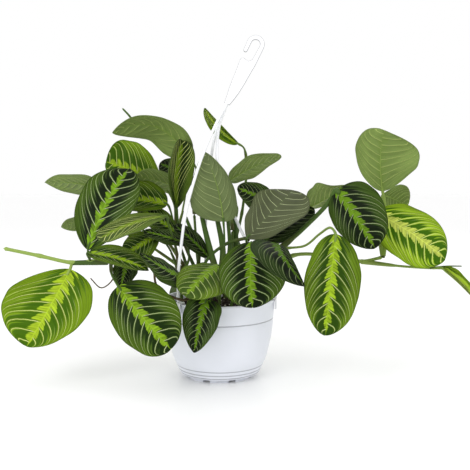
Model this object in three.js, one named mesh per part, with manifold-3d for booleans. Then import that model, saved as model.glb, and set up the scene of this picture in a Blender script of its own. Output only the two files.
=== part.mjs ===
// Potted prayer plant: a white nursery pot with a clip-on hanger, soil and leafy stems.
// Millimetres, +Z up, +X to the viewer's right, origin at the centre of the pot's underside.

import * as THREE from 'three';
import { mergeVertices } from 'three/addons/utils/BufferGeometryUtils.js';
import Module from 'manifold-3d';

// Driving dimensions
const CLEARANCE = 0.3;          // air between pieces that only touch
const POT_HEIGHT = 98;
const RIM_RADIUS = 70;          // outside of the rim, a 14 cm pot
const BASE_RADIUS = 46;         // of the bowl's wall, carried down to the ground
const FOOT_RADIUS = 41;         // the foot is set in under the bowl
const FOOT_HEIGHT = 5;
const BRIM_RADIUS = 68.8;       // outside of the wall just under the lip
const POT_WALL = 1.8;
const LIP_HEIGHT = 2.6;
const BAND_HEIGHT = 24;         // plain band under the lip, down to the moulded line
const BAND_RADIUS = 67;         // outside of the wall at that line
const POT_SEGMENTS = 32;
const DRAIN_SLOTS = 8;
const SLOT_SIZE = [9, 13, 7];
const SOIL_TOP = 88;
const SOIL_DOME = 3;            // how much the soil rises towards the middle
const SOIL_SEGMENTS = 20;
const ROOT_DEPTH = 22;          // how far a stem reaches down into the soil
const STEM_RADIUS = 2.3;
const STEM_SIDES = 5;
const PETIOLE_RADIUS = 1.4;
const PETIOLE_SIDES = 4;
const STALK_REACH = 0.09;       // share of a blade's length that its stalk runs into it
const TWIG_STEPS = 5;
const BLADE_THICKNESS = 0.8;
const BLADE_ROWS = 7;           // steps along the midrib
const BLADE_COLUMNS = 4;        // steps from edge to edge
const STRAND_RADIUS = 1.9;
const STRAND_SIDES = 6;
const STRAND_STEPS = 16;
const HOOK_THICKNESS = 4;
const HOOK_LEAN = 26;           // degrees that the hook leans to the right
const HANGER_KNOT = [9, 0, 337]; // where the three strands meet under the hook
const CLIP_WIDTH = 9;
const CLIP_THICKNESS = 1.8;
const CLIP_DROP = 12;           // how far a clip reaches down outside the rim
const CLIP_INSIDE = 6;          // how far it reaches down inside the rim
const CLIP_ANGLES = { front: -133, right: -13, back: 107 };

const wasm = await Module();
wasm.setup();

const degrees = (angle) => THREE.MathUtils.degToRad(angle);
const vector = (point) => new THREE.Vector3(...point);

// A closed three.js geometry as a solid that can be joined and cut
function solidOf(geometry) {
  const bare = geometry.clone();
  for (const name of ['normal', 'uv']) bare.deleteAttribute(name);
  const merged = mergeVertices(bare, 1e-4);
  return new wasm.Manifold(new wasm.Mesh({
    numProp: 3,
    vertProperties: new Float32Array(merged.attributes.position.array),
    triVerts: new Uint32Array(merged.index.array),
  }));
}

function meshOf(name, solid, material) {
  const result = solid.getMesh();
  const geometry = new THREE.BufferGeometry();
  geometry.setAttribute('position', new THREE.BufferAttribute(new Float32Array(result.vertProperties), 3));
  geometry.setIndex(new THREE.BufferAttribute(new Uint32Array(result.triVerts), 1));
  geometry.computeVertexNormals();
  const mesh = new THREE.Mesh(geometry, material);
  mesh.name = name;
  return mesh;
}

const joined = (solids) => solids.reduce((whole, piece) => whole.add(piece));

// Joined solids with any small hollow that the joining has sealed filled again
const grown = (solids) => joined(joined(solids).decompose().filter((body) => body.volume() > 0));

// A round bar along a smooth curve through the points
function bar(points, radius, sides, steps) {
  const section = new THREE.Shape();
  for (let corner = 0; corner < sides; corner += 1) {
    const turn = (corner / sides) * 2 * Math.PI;
    const place = [radius * Math.cos(turn), radius * Math.sin(turn)];
    if (corner === 0) section.moveTo(...place);
    else section.lineTo(...place);
  }
  const path = new THREE.CatmullRomCurve3(points.map(vector), false, 'centripetal');
  return solidOf(new THREE.ExtrudeGeometry(section, { steps, bevelEnabled: false, extrudePath: path }));
}

// Pot

const LINE_HEIGHT = POT_HEIGHT - BAND_HEIGHT;

// Outside radius of the pot at a height, lip left out
function potRadius(height) {
  const bowl = [
    [0, BASE_RADIUS], [8, 50.8], [18, 55.2], [27, 58.6], [50, 64],
    [LINE_HEIGHT, BAND_RADIUS], [POT_HEIGHT, BRIM_RADIUS],
  ];
  const above = bowl.findIndex(([level]) => level >= height);
  if (above <= 0) return BASE_RADIUS;
  const [lowLevel, lowRadius] = bowl[above - 1];
  const [highLevel, highRadius] = bowl[above];
  return THREE.MathUtils.mapLinear(height, lowLevel, highLevel, lowRadius, highRadius);
}

function potSolid() {
  const lipHeight = POT_HEIGHT - LIP_HEIGHT;
  const ledge = 0.5;            // width of each step round the foot
  const groove = 0.8;           // depth and half height of the moulded line
  const chamfer = 2;            // between the floor and the wall inside
  const outside = [[0, FOOT_RADIUS], [FOOT_HEIGHT - 1, FOOT_RADIUS + ledge]];
  outside.push([FOOT_HEIGHT, potRadius(FOOT_HEIGHT)]);
  for (const level of [7, 11, 16]) {
    outside.push([level, potRadius(level)], [level + ledge, potRadius(level) + ledge]);
  }
  for (const level of [22, 27, 38, 50]) outside.push([level, potRadius(level) + ledge]);
  outside.push([LINE_HEIGHT - groove, BAND_RADIUS], [LINE_HEIGHT, BAND_RADIUS - groove]);
  outside.push([LINE_HEIGHT + groove, BAND_RADIUS + 0.2], [LINE_HEIGHT + BAND_HEIGHT / 2, 68]);
  outside.push([lipHeight, BRIM_RADIUS - 0.2], [lipHeight, RIM_RADIUS], [POT_HEIGHT, RIM_RADIUS]);
  const inside = [];
  for (const level of [POT_HEIGHT, LINE_HEIGHT, 50, 27, 12]) {
    inside.push([level, potRadius(level) - POT_WALL]);
  }
  const shelf = FOOT_HEIGHT + POT_WALL;
  const fall = 0.4;             // of the shelf inside, down to the foot's hollow
  const floorRadius = FOOT_RADIUS - POT_WALL - 1;
  inside.push([shelf + fall, potRadius(shelf) - POT_WALL - 1], [shelf, FOOT_RADIUS - POT_WALL]);
  inside.push([POT_WALL + chamfer / 2, floorRadius], [POT_WALL, floorRadius - chamfer]);
  const profile = [[0, 0], ...outside, ...inside, [POT_WALL, 0]];
  const points = profile.map(([height, radius]) => new THREE.Vector2(radius, height));
  let pot = solidOf(new THREE.LatheGeometry(points, POT_SEGMENTS).rotateX(Math.PI / 2));
  const slot = new THREE.BoxGeometry(...SLOT_SIZE);
  for (let count = 0; count < DRAIN_SLOTS; count += 1) {
    const cutter = slot.clone().translate(0, -FOOT_RADIUS, 0);
    cutter.rotateZ(((count + 0.5) / DRAIN_SLOTS) * 2 * Math.PI);
    pot = pot.subtract(solidOf(cutter));
  }
  return pot;
}

// Soil, with a plain hole for every stem
function soilSolid(roots) {
  const gap = POT_WALL + 2 * CLEARANCE;
  const air = 0.7;              // between the soil and the pot's shelf
  const bottom = FOOT_HEIGHT + POT_WALL + air;
  const edge = 3;               // width of the slope down to the pot's wall
  const profile = [[bottom, 0], [bottom, potRadius(bottom) - gap - 4]];
  for (const level of [12, 27, 50, LINE_HEIGHT]) profile.push([level, potRadius(level) - gap]);
  profile.push([SOIL_TOP - 2, potRadius(SOIL_TOP) - gap]);
  profile.push([SOIL_TOP, potRadius(SOIL_TOP) - gap - edge]);
  profile.push([SOIL_TOP + SOIL_DOME * 0.6, potRadius(SOIL_TOP) / 2], [SOIL_TOP + SOIL_DOME, 0]);
  const points = profile.map(([height, radius]) => new THREE.Vector2(radius, height));
  let soil = solidOf(new THREE.LatheGeometry(points, SOIL_SEGMENTS).rotateX(Math.PI / 2));
  const holeRadius = STEM_RADIUS + 2 * CLEARANCE;
  const holeBottom = SOIL_TOP - ROOT_DEPTH - CLEARANCE;
  const holeLength = 2 * ROOT_DEPTH;
  for (const [x, y] of roots) {
    const hole = new THREE.CylinderGeometry(holeRadius, holeRadius, holeLength, 6);
    hole.rotateX(Math.PI / 2).translate(x, y, holeBottom + holeLength / 2);
    soil = soil.subtract(solidOf(hole));
  }
  return soil;
}

// Hanger: a hook with a palm, three strands and a clip over the rim for each

function hookSolid() {
  const reach = 11;             // outer radius of the hook's bend
  const bore = 5.5;             // inner radius of the bend
  const bend = 80;              // height of the bend's centre over the knot
  const shape = new THREE.Shape();
  shape.moveTo(-3.5, 0);
  shape.lineTo(3.5, 0);
  shape.lineTo(7.5, 18);
  shape.lineTo(9.5, 40);
  shape.lineTo(reach, 58);
  shape.absarc(0, bend, reach, 0, Math.PI, false);
  shape.lineTo(-10.5, 69);
  shape.lineTo(-8, 66);
  shape.lineTo(-bore, 69);
  shape.absarc(0, bend, bore, Math.PI, 0, true);
  shape.lineTo(4.5, 62);
  shape.lineTo(1, 58);
  shape.lineTo(-6, 59);
  shape.lineTo(-9, 56);
  shape.lineTo(-7.5, 40);
  shape.lineTo(-6, 18);
  shape.closePath();
  const sizes = { depth: HOOK_THICKNESS, bevelEnabled: false, curveSegments: 8 };
  const plate = new THREE.ExtrudeGeometry(shape, sizes);
  plate.translate(0, 0, -HOOK_THICKNESS / 2).rotateX(Math.PI / 2).rotateY(degrees(HOOK_LEAN));
  return solidOf(plate.translate(...HANGER_KNOT));
}

// A square saddle that sits over the rim and holds a strand's end
function clipSolid(angle) {
  const facet = Math.cos(Math.PI / POT_SEGMENTS);
  const air = CLEARANCE + 0.2;
  const outer = RIM_RADIUS + air;
  const inner = (potRadius(POT_HEIGHT - CLIP_INSIDE) - POT_WALL) * facet - air;
  const leg = CLIP_THICKNESS;
  const top = POT_HEIGHT + CLEARANCE;
  const shape = new THREE.Shape();
  shape.moveTo(outer, POT_HEIGHT - CLIP_DROP);
  shape.lineTo(outer + leg, POT_HEIGHT - CLIP_DROP);
  shape.lineTo(outer + leg, top + leg);
  shape.lineTo(inner - leg, top + leg);
  shape.lineTo(inner - leg, POT_HEIGHT - CLIP_INSIDE);
  shape.lineTo(inner, POT_HEIGHT - CLIP_INSIDE);
  shape.lineTo(inner, top);
  shape.lineTo(outer, top);
  shape.closePath();
  const saddle = new THREE.ExtrudeGeometry(shape, { depth: CLIP_WIDTH, bevelEnabled: false });
  saddle.translate(0, 0, -CLIP_WIDTH / 2).rotateX(Math.PI / 2).rotateZ(degrees(angle));
  return solidOf(saddle);
}

function hangerSolid() {
  const knot = [HANGER_KNOT[0] + 2, 0, HANGER_KNOT[2] + 5];
  const routes = {
    front: [[-3, -4, 315], [-19, -12, 278], [-30, -20, 245], [-40, -31, 205], [-45, -41, 167],
      [-48, -48, 135]],
    right: [[0, 2, 312], [-3, 4, 288], [-2, 3, 262], [12, -2, 215], [38, -9, 160]],
    back: [[-2, 5, 312], [-9, 13, 284], [-15, 30, 235], [-20, 50, 175]],
  };
  const solids = [hookSolid()];
  for (const [side, middle] of Object.entries(routes)) {
    const angle = degrees(CLIP_ANGLES[side]);
    const radius = RIM_RADIUS + 0.4;
    const overRim = (height) => [radius * Math.cos(angle), radius * Math.sin(angle), POT_HEIGHT + height];
    const route = [knot, ...middle, overRim(14), overRim(1.4)];
    solids.push(bar(route, STRAND_RADIUS, STRAND_SIDES, STRAND_STEPS));
    solids.push(clipSolid(CLIP_ANGLES[side]));
  }
  return joined(solids);
}

// Leaf blades and leafy stems

// Half the width of a blade at a share of its length, 1 at its widest
function outline(share, [baseFullness, tipFullness]) {
  const width = (place) => place ** baseFullness * (1 - place) ** tipFullness;
  return width(share) / width(baseFullness / (baseFullness + tipFullness));
}

// The midrib at a share of its length: its place, and the way across and up from it
function midrib(leaf, share) {
  const { arch = 5, bow = 0 } = leaf;
  const base = vector(leaf.base);
  const chord = vector(leaf.tip).sub(base);
  const along = chord.clone().normalize();
  const face = vector(leaf.face);
  const up = face.addScaledVector(along, -face.dot(along)).normalize();
  const right = new THREE.Vector3().crossVectors(along, up);
  const rise = 4 * share * (1 - share);
  const slope = 4 * (1 - 2 * share);
  const middle = base.clone().addScaledVector(chord, share);
  middle.addScaledVector(up, arch * rise).addScaledVector(right, bow * rise);
  const ahead = chord.addScaledVector(up, arch * slope).addScaledVector(right, bow * slope).normalize();
  const side = new THREE.Vector3().crossVectors(ahead, up).normalize();
  const over = new THREE.Vector3().crossVectors(side, ahead);
  return { middle, side, over };
}

// The middle surface of a blade: rows of points from one edge over the midrib to the other
function bladeRows(leaf) {
  const { fold = [0, 0], cup = 0.01, wave = 1.5, full: [baseFull, tipFull] = [0.5, 0.5], skew = 0 } = leaf;
  const rows = [];
  for (let row = 0; row <= BLADE_ROWS; row += 1) {
    const share = (1 - Math.cos((Math.PI * row) / BLADE_ROWS)) / 2;
    const { middle, side, over } = midrib(leaf, share);
    const points = [];
    for (let column = 0; column <= BLADE_COLUMNS; column += 1) {
      const across = -1 + (2 * column) / BLADE_COLUMNS;
      const hand = across < 0 ? 0 : 1;
      const out = Math.abs(across);
      const start = degrees(fold[hand]);
      const lean = hand === 0 ? skew : -skew;
      const reach = leaf.half[hand] * outline(share, [baseFull + lean, tipFull - lean]);
      const flat = (Math.sin(start + cup * out) - Math.sin(start)) / cup;
      const lift = (Math.cos(start) - Math.cos(start + cup * out)) / cup;
      const phase = 2 * Math.PI * (1.6 * share + 0.5 * hand);
      const ripple = wave * out * out * Math.sin(phase) * Math.min(1, 4 * share);
      const point = middle.clone();
      point.addScaledVector(side, Math.sign(across) * reach * flat);
      point.addScaledVector(over, reach * lift + ripple);
      points.push(point);
    }
    rows.push(points);
  }
  return rows;
}

// A closed thin solid round the middle surface, split alike on both faces
function bladeSolid(leaf) {
  const rows = bladeRows(leaf);
  const middle = BLADE_COLUMNS / 2;
  const points = [rows[0][middle]];
  for (let row = 1; row < BLADE_ROWS; row += 1) points.push(...rows[row]);
  points.push(rows[BLADE_ROWS][middle]);
  const last = points.length - 1;
  const at = (row, column) => 1 + (row - 1) * (BLADE_COLUMNS + 1) + column;
  const triangles = [];
  for (let column = 0; column < BLADE_COLUMNS; column += 1) {
    triangles.push([0, at(1, column + 1), at(1, column)]);
    triangles.push([last, at(BLADE_ROWS - 1, column), at(BLADE_ROWS - 1, column + 1)]);
    for (let row = 1; row < BLADE_ROWS - 1; row += 1) {
      triangles.push([at(row, column), at(row, column + 1), at(row + 1, column + 1)]);
      triangles.push([at(row, column), at(row + 1, column + 1), at(row + 1, column)]);
    }
  }
  const normals = points.map(() => new THREE.Vector3());
  for (const [a, b, c] of triangles) {
    const edge = points[b].clone().sub(points[a]);
    const normal = edge.cross(points[c].clone().sub(points[a]));
    for (const corner of [a, b, c]) normals[corner].add(normal);
  }
  const positions = [];
  for (const sideSign of [0.5, -0.5]) {
    points.forEach((point, index) => {
      const offset = normals[index].clone().normalize().multiplyScalar(sideSign * BLADE_THICKNESS);
      positions.push(...point.clone().add(offset).toArray());
    });
  }
  const rim = [0];
  for (let row = 1; row < BLADE_ROWS; row += 1) rim.push(at(row, 0));
  rim.push(last);
  for (let row = BLADE_ROWS - 1; row > 0; row -= 1) rim.push(at(row, BLADE_COLUMNS));
  const under = points.length;
  const faces = [];
  for (const [a, b, c] of triangles) faces.push(a, b, c, a + under, c + under, b + under);
  rim.forEach((here, index) => {
    const next = rim[(index + 1) % rim.length];
    faces.push(here, next, next + under, here, next + under, here + under);
  });
  const geometry = new THREE.BufferGeometry();
  geometry.setAttribute('position', new THREE.Float32BufferAttribute(positions, 3));
  geometry.setIndex(faces);
  return solidOf(geometry);
}

// A stalk runs from a point of the stem through its own points into the blade's base
function stalkSolid(leaf, start) {
  const inward = midrib(leaf, STALK_REACH).middle.toArray();
  const route = [start, ...(leaf.via ?? []), leaf.base, inward];
  return bar(route, leaf.stalk ?? PETIOLE_RADIUS, PETIOLE_SIDES, route.length + 2);
}

function shootSolid({ root: [x, y], stem, leaves, twigs = [] }) {
  const collar = SOIL_TOP + SOIL_DOME + 1;
  const foot = bar([[x, y, SOIL_TOP - ROOT_DEPTH], [x, y, collar + 1]], STEM_RADIUS, STEM_SIDES, 1);
  const route = [[x, y, collar], ...stem];
  const solids = [foot, bar(route, STEM_RADIUS, STEM_SIDES, 2 * route.length - 1)];
  for (const leaf of leaves) {
    solids.push(stalkSolid(leaf, stem[leaf.from]));
    solids.push(bladeSolid(leaf));
  }
  for (const twig of twigs) solids.push(bar(twig.through, twig.radius, PETIOLE_SIDES, TWIG_STEPS));
  return grown(solids);
}

// Each leafy stem: where it leaves the soil, its joints, and a row for each leaf. A leaf gives its joint on
// the stem (from), the stalk's own points (via), the blade's base and tip, the way its upper side faces,
// and half its width on either hand. arch and bow curve the midrib, fold lifts the halves in degrees, cup
// rolls them in radians, wave ripples the edges, full shapes the outline towards base and tip, and skew
// moves the two halves' widest places apart.
const SHOOTS = {
  shoot_left_runner: {
    root: [-36, -20],
    stem: [[-48, -32, 122], [-80, -42, 142], [-128, -45, 148], [-152, -45, 148], [-174, -46, 147],
      [-212, -46, 155], [-255, -46, 164]],
    leaves: [
      { from: 4, base: [-175, -52, 140], tip: [-220, -80, 54], face: [0.05, -1, 0.3], half: [44, 52],
        arch: 5, bow: -2, fold: [4, 1], wave: 2, full: [0.6, 0.6], skew: -0.15 },
      { from: 2, via: [[-124, -66, 136]], base: [-114, -80, 124], tip: [-52, -110, 58], face: [0.1, -1, 0.35],
        half: [40, 32], arch: 8, bow: 2, cup: -0.2, wave: 2, full: [0.42, 0.41] },
      { from: 3, base: [-155, -46, 162], tip: [-113, 5, 258], face: [-0.25, -0.85, 0.4], half: [37, 36],
        arch: 12, bow: 1, fold: [8, -6], wave: 2, full: [0.68, 0.58] },
      { from: 3, base: [-153, -60, 160], tip: [-79, -82, 142], face: [0.1, -0.75, 0.6], half: [19, 12],
        arch: 7, cup: -0.2, fold: [0, 20], wave: 1, full: [0.68, 0.8] },
      { from: 2, base: [-108, -52, 148], tip: [-115, -60, 117], face: [0, -1, 0.2], half: [15, 14],
        arch: 2, wave: 1, full: [0.3, 0.9] },
    ],
    twigs: [
      { through: [[-128, -46, 148], [-124, -52, 130], [-138, -54, 118], [-152, -52, 130]], radius: 0.8 },
      { through: [[-130, -45, 147.5], [-152, -45, 147], [-176, -46, 146.5]], radius: 3.3 },
    ],
  },
  shoot_left_low: {
    root: [-48, 4],
    stem: [[-50, 2, 124]],
    leaves: [
      { from: 0, via: [[-54, -8, 160], [-60, -40, 192]], base: [-61, -59, 203], tip: [-132, -99, 179],
        face: [0, -0.55, 0.83], half: [22, 13], arch: 3, bow: 4, fold: [10, 18], wave: 1, full: [0.6, 0.32] },
      { from: 0, via: [[-62, -2, 158]], base: [-77, -8, 177], tip: [-118, -12, 152], face: [-0.2, -0.8, 0.5],
        half: [23, 18], arch: 5, bow: -3, fold: [4, 15], wave: 1, full: [0.62, 0.44] },
      { from: 0, via: [[-38, -10, 148]], base: [-40, -14, 166], tip: [-92, -20, 182], face: [0, -0.6, 0.8],
        half: [12, 12], arch: 2, wave: 1 },
    ],
  },
  shoot_left_high: {
    root: [-34, 24],
    stem: [[-40, 24, 125], [-56, 22, 175]],
    leaves: [
      { from: 1, base: [-66, 12, 214], tip: [-137, 24, 221], face: [0.1, -0.8, 0.6], half: [20, 27],
        arch: 4, fold: [8, 8], wave: 1 },
      { from: 1, via: [[-60, 34, 215]], base: [-77, 38, 241], tip: [-146, 32, 267], face: [-0.1, -0.9, 0.5],
        half: [23, 38], arch: -2, bow: 3, fold: [25, 13], cup: -0.2, wave: 2, full: [0.8, 0.36] },
      { from: 1, via: [[-48, 26, 205]], base: [-45, 23, 231], tip: [-106, 22, 249], face: [0, 0.6, 0.8],
        half: [22, 22], arch: 3, wave: 1 },
      { from: 0, via: [[-80, 36, 180], [-125, 30, 225]], base: [-151, 18, 235], tip: [-221, 18, 241],
        face: [0, 0.4, 0.9], half: [24, 30], arch: 2, bow: -2, fold: [6, -10], wave: 1, full: [0.4, 0.8] },
      { from: 0, via: [[-90, 26, 160], [-135, 24, 188]], base: [-159, 20, 196], tip: [-202, 22, 184],
        face: [0, 0.5, 0.85], half: [15, 21], arch: 2, fold: [-3, -7], wave: 1, full: [0.38, 0.61] },
      { from: 0, via: [[-48, 16, 152]], base: [-55, 8, 179], tip: [-102, 6, 209], face: [0.1, -0.8, 0.6],
        half: [15, 16], arch: 3, wave: 1 },
    ],
  },
  shoot_top_left: {
    root: [-16, 42],
    stem: [[-28, 40, 130], [-34, 42, 200]],
    leaves: [
      { from: 1, via: [[-30, 34, 256]], base: [-41, 18, 276], tip: [-130, -10, 302], face: [0, 0.45, 0.9],
        half: [27, 30], arch: 22, bow: -6, fold: [5, -7], cup: -0.2, wave: 1.5, full: [0.26, 0.54] },
      { from: 1, via: [[-36, 50, 230]], base: [-42, 56, 249], tip: [-80, 58, 265], face: [0, -0.8, 0.5],
        half: [17, 17], arch: 2, wave: 1 },
    ],
    twigs: [{ through: [[-104, -2, 312], [-109, -4, 321], [-119, -3, 332]], radius: 1.3 }],
  },
  shoot_upright: {
    root: [-20, 8],
    stem: [[-30, 8, 130]],
    leaves: [
      { from: 0, via: [[-49.5, 12, 176]], base: [-54, 8, 209], tip: [-46, 8, 293], face: [0.5, -0.8, 0.2],
        half: [30, 26], arch: 2, bow: -6, fold: [34, 48], cup: 0.4, wave: 1, full: [0.73, 0.44] },
    ],
    twigs: [{ through: [[-30, 8, 124], [-26, -8.5, 156], [-42, -9, 200]], radius: 2.4 }],
  },
  shoot_centre: {
    root: [0, -14],
    stem: [[0, -14, 130]],
    leaves: [
      { from: 0, via: [[6, -20, 165]], base: [5, -22, 194], tip: [-19, -4, 279], face: [-0.1, 0.95, 0.35],
        half: [21, 38], arch: 5, bow: -4, fold: [12, -25], cup: 0.2, wave: 1.5, full: [0.36, 0.78] },
      { from: 0, base: [-14, -10, 150], tip: [-54, -26, 190], face: [0.5, -0.8, 0.3], half: [11, 12],
        arch: 3, wave: 1 },
    ],
    twigs: [
      { through: [[-1, -14, 122], [-12, -11, 160], [-22, -11, 201]], radius: 4 },
      { through: [[0, -13, 120], [4, -11, 157], [-4, -11, 202]], radius: 4 },
      { through: [[2, -14, 120], [12, -11, 157], [10, -10, 200]], radius: 2.6 },
      { through: [[34, -16, 174], [8, -13, 166], [-18, -13, 142], [-22, -16, 104]], radius: 2 },
    ],
  },
  shoot_back: {
    root: [12, 24],
    stem: [[14, 26, 130], [16, 28, 180]],
    leaves: [
      { from: 1, via: [[12, 28, 220]], base: [12, 22, 244], tip: [78, 30, 274], face: [-0.2, 0.6, 0.8],
        half: [25, 24], arch: 2, bow: 2, fold: [7, -2], wave: 1.5, full: [0.4, 0.64] },
      { from: 0, via: [[46, 36, 180], [68, 30, 204]], base: [71, 20, 214], tip: [22, 12, 234],
        face: [0, -0.75, 0.6], half: [24, 18], arch: -2, bow: 2, fold: [5, 7], wave: 1, full: [0.53, 0.57] },
    ],
    twigs: [{ through: [[14, 26, 126], [20, 32, 156], [17, 32, 206]], radius: 4 }],
  },
  shoot_young: {
    root: [6, 50],
    stem: [[14, 54, 140], [28, 58, 200], [35, 60, 258]],
    leaves: [
      { from: 2, via: [[31, 42, 284]], base: [23, 26, 290], tip: [-19, 20, 334], face: [-0.3, -0.8, 0.4],
        half: [12, 6], arch: 0, bow: -4, fold: [20, 39], cup: 0.3, wave: 1, full: [0.56, 0.6] },
    ],
  },
  shoot_right_high: {
    root: [30, 4],
    stem: [[34, 0, 128]],
    leaves: [
      { from: 0, via: [[36, -28, 158]], base: [33, -45, 176], tip: [89, -20, 232], face: [-0.3, -0.6, 0.75],
        half: [44, 38], arch: 4, bow: 4, cup: -0.2, wave: 2, full: [0.66, 0.3] },
      { from: 0, via: [[48, 2, 148]], base: [52, -14, 168], tip: [116, 0, 210], face: [0, -0.5, 0.85],
        half: [23, 23], arch: 3, cup: -0.2, wave: 1 },
      { from: 0, via: [[84, 10, 180]], base: [108, 2, 209], tip: [157, 4, 237], face: [0, 0.5, 0.85],
        half: [18, 28], arch: 1, bow: -5, fold: [10, 22], wave: 2, full: [0.3, 0.8] },
    ],
  },
  shoot_right: {
    root: [42, -20],
    stem: [[48, -22, 126]],
    leaves: [
      { from: 0, via: [[64, -26, 152], [97, -28, 182], [130, -30, 216]], base: [140, -35, 232],
        tip: [181, -65, 166], face: [0.1, -0.95, 0.3], half: [37, 27], arch: 7, bow: 1, fold: [32, -24],
        cup: -0.2, wave: 1.5, full: [0.42, 0.56], stalk: 2.8 },
      { from: 0, via: [[73, -34, 160], [102, -44, 167], [118, -56, 182], [129, -68, 190]],
        base: [134, -74, 183], tip: [120, -102, 72], face: [0, -1, 0.25], half: [34, 29],
        arch: 6, bow: 1, fold: [6, 7], cup: -0.1, wave: 1.5, full: [0.53, 0.56] },
    ],
  },
  shoot_far_right: {
    root: [50, 14],
    stem: [[62, 8, 130], [92, 4, 150], [135, 2, 150], [174, 0, 143], [204, 2, 148]],
    leaves: [
      { from: 4, via: [[198, 8, 182]], base: [191, -10, 204], tip: [273, -28, 149], face: [0.05, -0.9, 0.45],
        half: [37, 37], arch: 8, cup: -0.2, wave: 2, full: [0.54, 0.51] },
      { from: 4, via: [[210, 16, 195]], base: [205, 16, 230], tip: [198, -22, 304], face: [0.05, 0.85, 0.5],
        half: [48, 31], arch: 6, bow: 3, fold: [-28, 11], cup: 0.1, wave: 2, full: [0.61, 0.34] },
      { from: 4, via: [[214, 26, 190]], base: [208, 32, 225], tip: [242, 40, 210], face: [-0.3, 0.8, 0.5],
        half: [19, 22], arch: 5, fold: [2, 4], wave: 1, full: [0.9, 0.6] },
      { from: 3, via: [[228, -2, 137], [262, -12, 136]], base: [272, -20, 137], tip: [315, -28, 93],
        face: [0.3, -0.4, 0.9], half: [11, 9], arch: 2, fold: [50, 45], cup: 0.8, wave: 1,
        full: [0.4, 0.6] },
    ],
    twigs: [
      { through: [[258, -11, 135.4], [268, -15.5, 138], [279, -16, 139], [298, -16, 139]], radius: 0.9 },
    ],
  },
  shoot_front: {
    root: [-10, -38],
    stem: [[-8, -42, 116]],
    leaves: [
      { from: 0, via: [[-2, -46, 134]], base: [2, -54, 145], tip: [-36, -102, 116], face: [-0.3, -0.9, 0.55],
        half: [33, 31], arch: 6, cup: -0.3, wave: 1.5 },
      { from: 0, via: [[-10, -64, 120]], base: [-14, -78, 108], tip: [-27, -92, 50], face: [-0.2, -1, 0.2],
        half: [24, 22], arch: 4, fold: [17, 7], wave: 1, full: [0.28, 0.72] },
    ],
  },
  shoot_rear_low: {
    root: [-4, 34],
    stem: [[-4, 46, 118]],
    leaves: [
      { from: 0, via: [[-22, 72, 132]], base: [-34, 86, 126], tip: [-46, 112, 46], face: [-0.25, 1, 0.3],
        half: [32, 31], arch: 6, cup: -0.2, wave: 2 },
      { from: 0, via: [[14, 76, 134]], base: [24, 92, 128], tip: [42, 118, 50], face: [0.2, 1, 0.3],
        half: [31, 32], arch: 6, cup: -0.2, wave: 2 },
    ],
  },
  shoot_rear_high: {
    root: [28, 38],
    stem: [[34, 48, 130]],
    leaves: [
      { from: 0, via: [[54, 74, 168]], base: [62, 88, 172], tip: [96, 150, 176], face: [0.1, 0.3, 1],
        half: [30, 30], arch: 12, cup: -0.2, wave: 2 },
      { from: 0, via: [[20, 72, 172]], base: [10, 84, 188], tip: [-18, 136, 232], face: [0, 0.4, 0.9],
        half: [27, 28], arch: 10, cup: -0.2, wave: 1.5 },
    ],
  },
  shoot_rear_left: {
    root: [-42, 36],
    stem: [[-60, 48, 122], [-100, 60, 148]],
    leaves: [
      { from: 1, base: [-114, 66, 168], tip: [-170, 110, 176], face: [-0.2, 0.3, 1],
        half: [31, 31], arch: 12, cup: -0.2, wave: 2 },
      { from: 1, via: [[-104, 72, 176]], base: [-104, 84, 200], tip: [-136, 132, 216], face: [-0.3, 0.6, 0.7],
        half: [27, 27], arch: 8, cup: -0.2, wave: 1.5 },
    ],
  },
  shoot_front_left: {
    root: [-26, -40],
    stem: [[-32, -48, 112]],
    leaves: [
      { from: 0, via: [[-36, -54, 124]], base: [-44, -60, 132], tip: [-89, -80, 162], face: [0, -0.35, 0.95],
        half: [24, 21], arch: 0, bow: -3, fold: [-12, 7], cup: -0.2, wave: 1, full: [0.33, 0.8] },
    ],
    twigs: [{ through: [[-32, -48, 108], [-42, -62, 105], [-70, -74, 122], [-74, -76, 148]], radius: 1.5 }],
  },
  shoot_front_right: {
    root: [14, -42],
    stem: [[22, -44, 120]],
    leaves: [
      { from: 0, via: [[34, -48, 160]], base: [38, -66, 173], tip: [38, -112, 105], face: [0, -0.9, 0.5],
        half: [40, 36], arch: 5, bow: 2, fold: [6, 5], cup: -0.3, wave: 1.5, full: [0.56, 0.53] },
      { from: 0, via: [[50, -48, 148], [64, -68, 168]], base: [67, -90, 173], tip: [94, -132, 132],
        face: [0.1, -0.8, 0.7], half: [10, 33], arch: 16, bow: 10, fold: [-4, 19], cup: -0.3, wave: 1,
        full: [0.35, 0.8] },
    ],
  },
};

const plasticMaterial = new THREE.MeshStandardMaterial({ color: 0xe6e9f2, roughness: 0.35, metalness: 0 });
const soilMaterial = new THREE.MeshStandardMaterial({ color: 0x2e2219, roughness: 0.95, metalness: 0 });
const leafMaterial = new THREE.MeshStandardMaterial({ color: 0x3c6b22, roughness: 0.5, metalness: 0 });

const plant = new THREE.Group();
plant.add(meshOf('pot', potSolid(), plasticMaterial));
plant.add(meshOf('soil', soilSolid(Object.values(SHOOTS).map(({ root }) => root)), soilMaterial));
plant.add(meshOf('hanger', hangerSolid(), plasticMaterial));
for (const [name, shoot] of Object.entries(SHOOTS)) {
  plant.add(meshOf(name, shootSolid(shoot), leafMaterial));
}

export default plant;
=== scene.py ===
"""Potted prayer plant: pot, hanger, soil and patterned leaves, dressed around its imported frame."""

import math
import random
from dataclasses import asdict, dataclass
from types import SimpleNamespace

import bpy
from bpy.props import FloatProperty, FloatVectorProperty, IntProperty, PointerProperty
from mathutils import Euler, Matrix, Vector, noise


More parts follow.
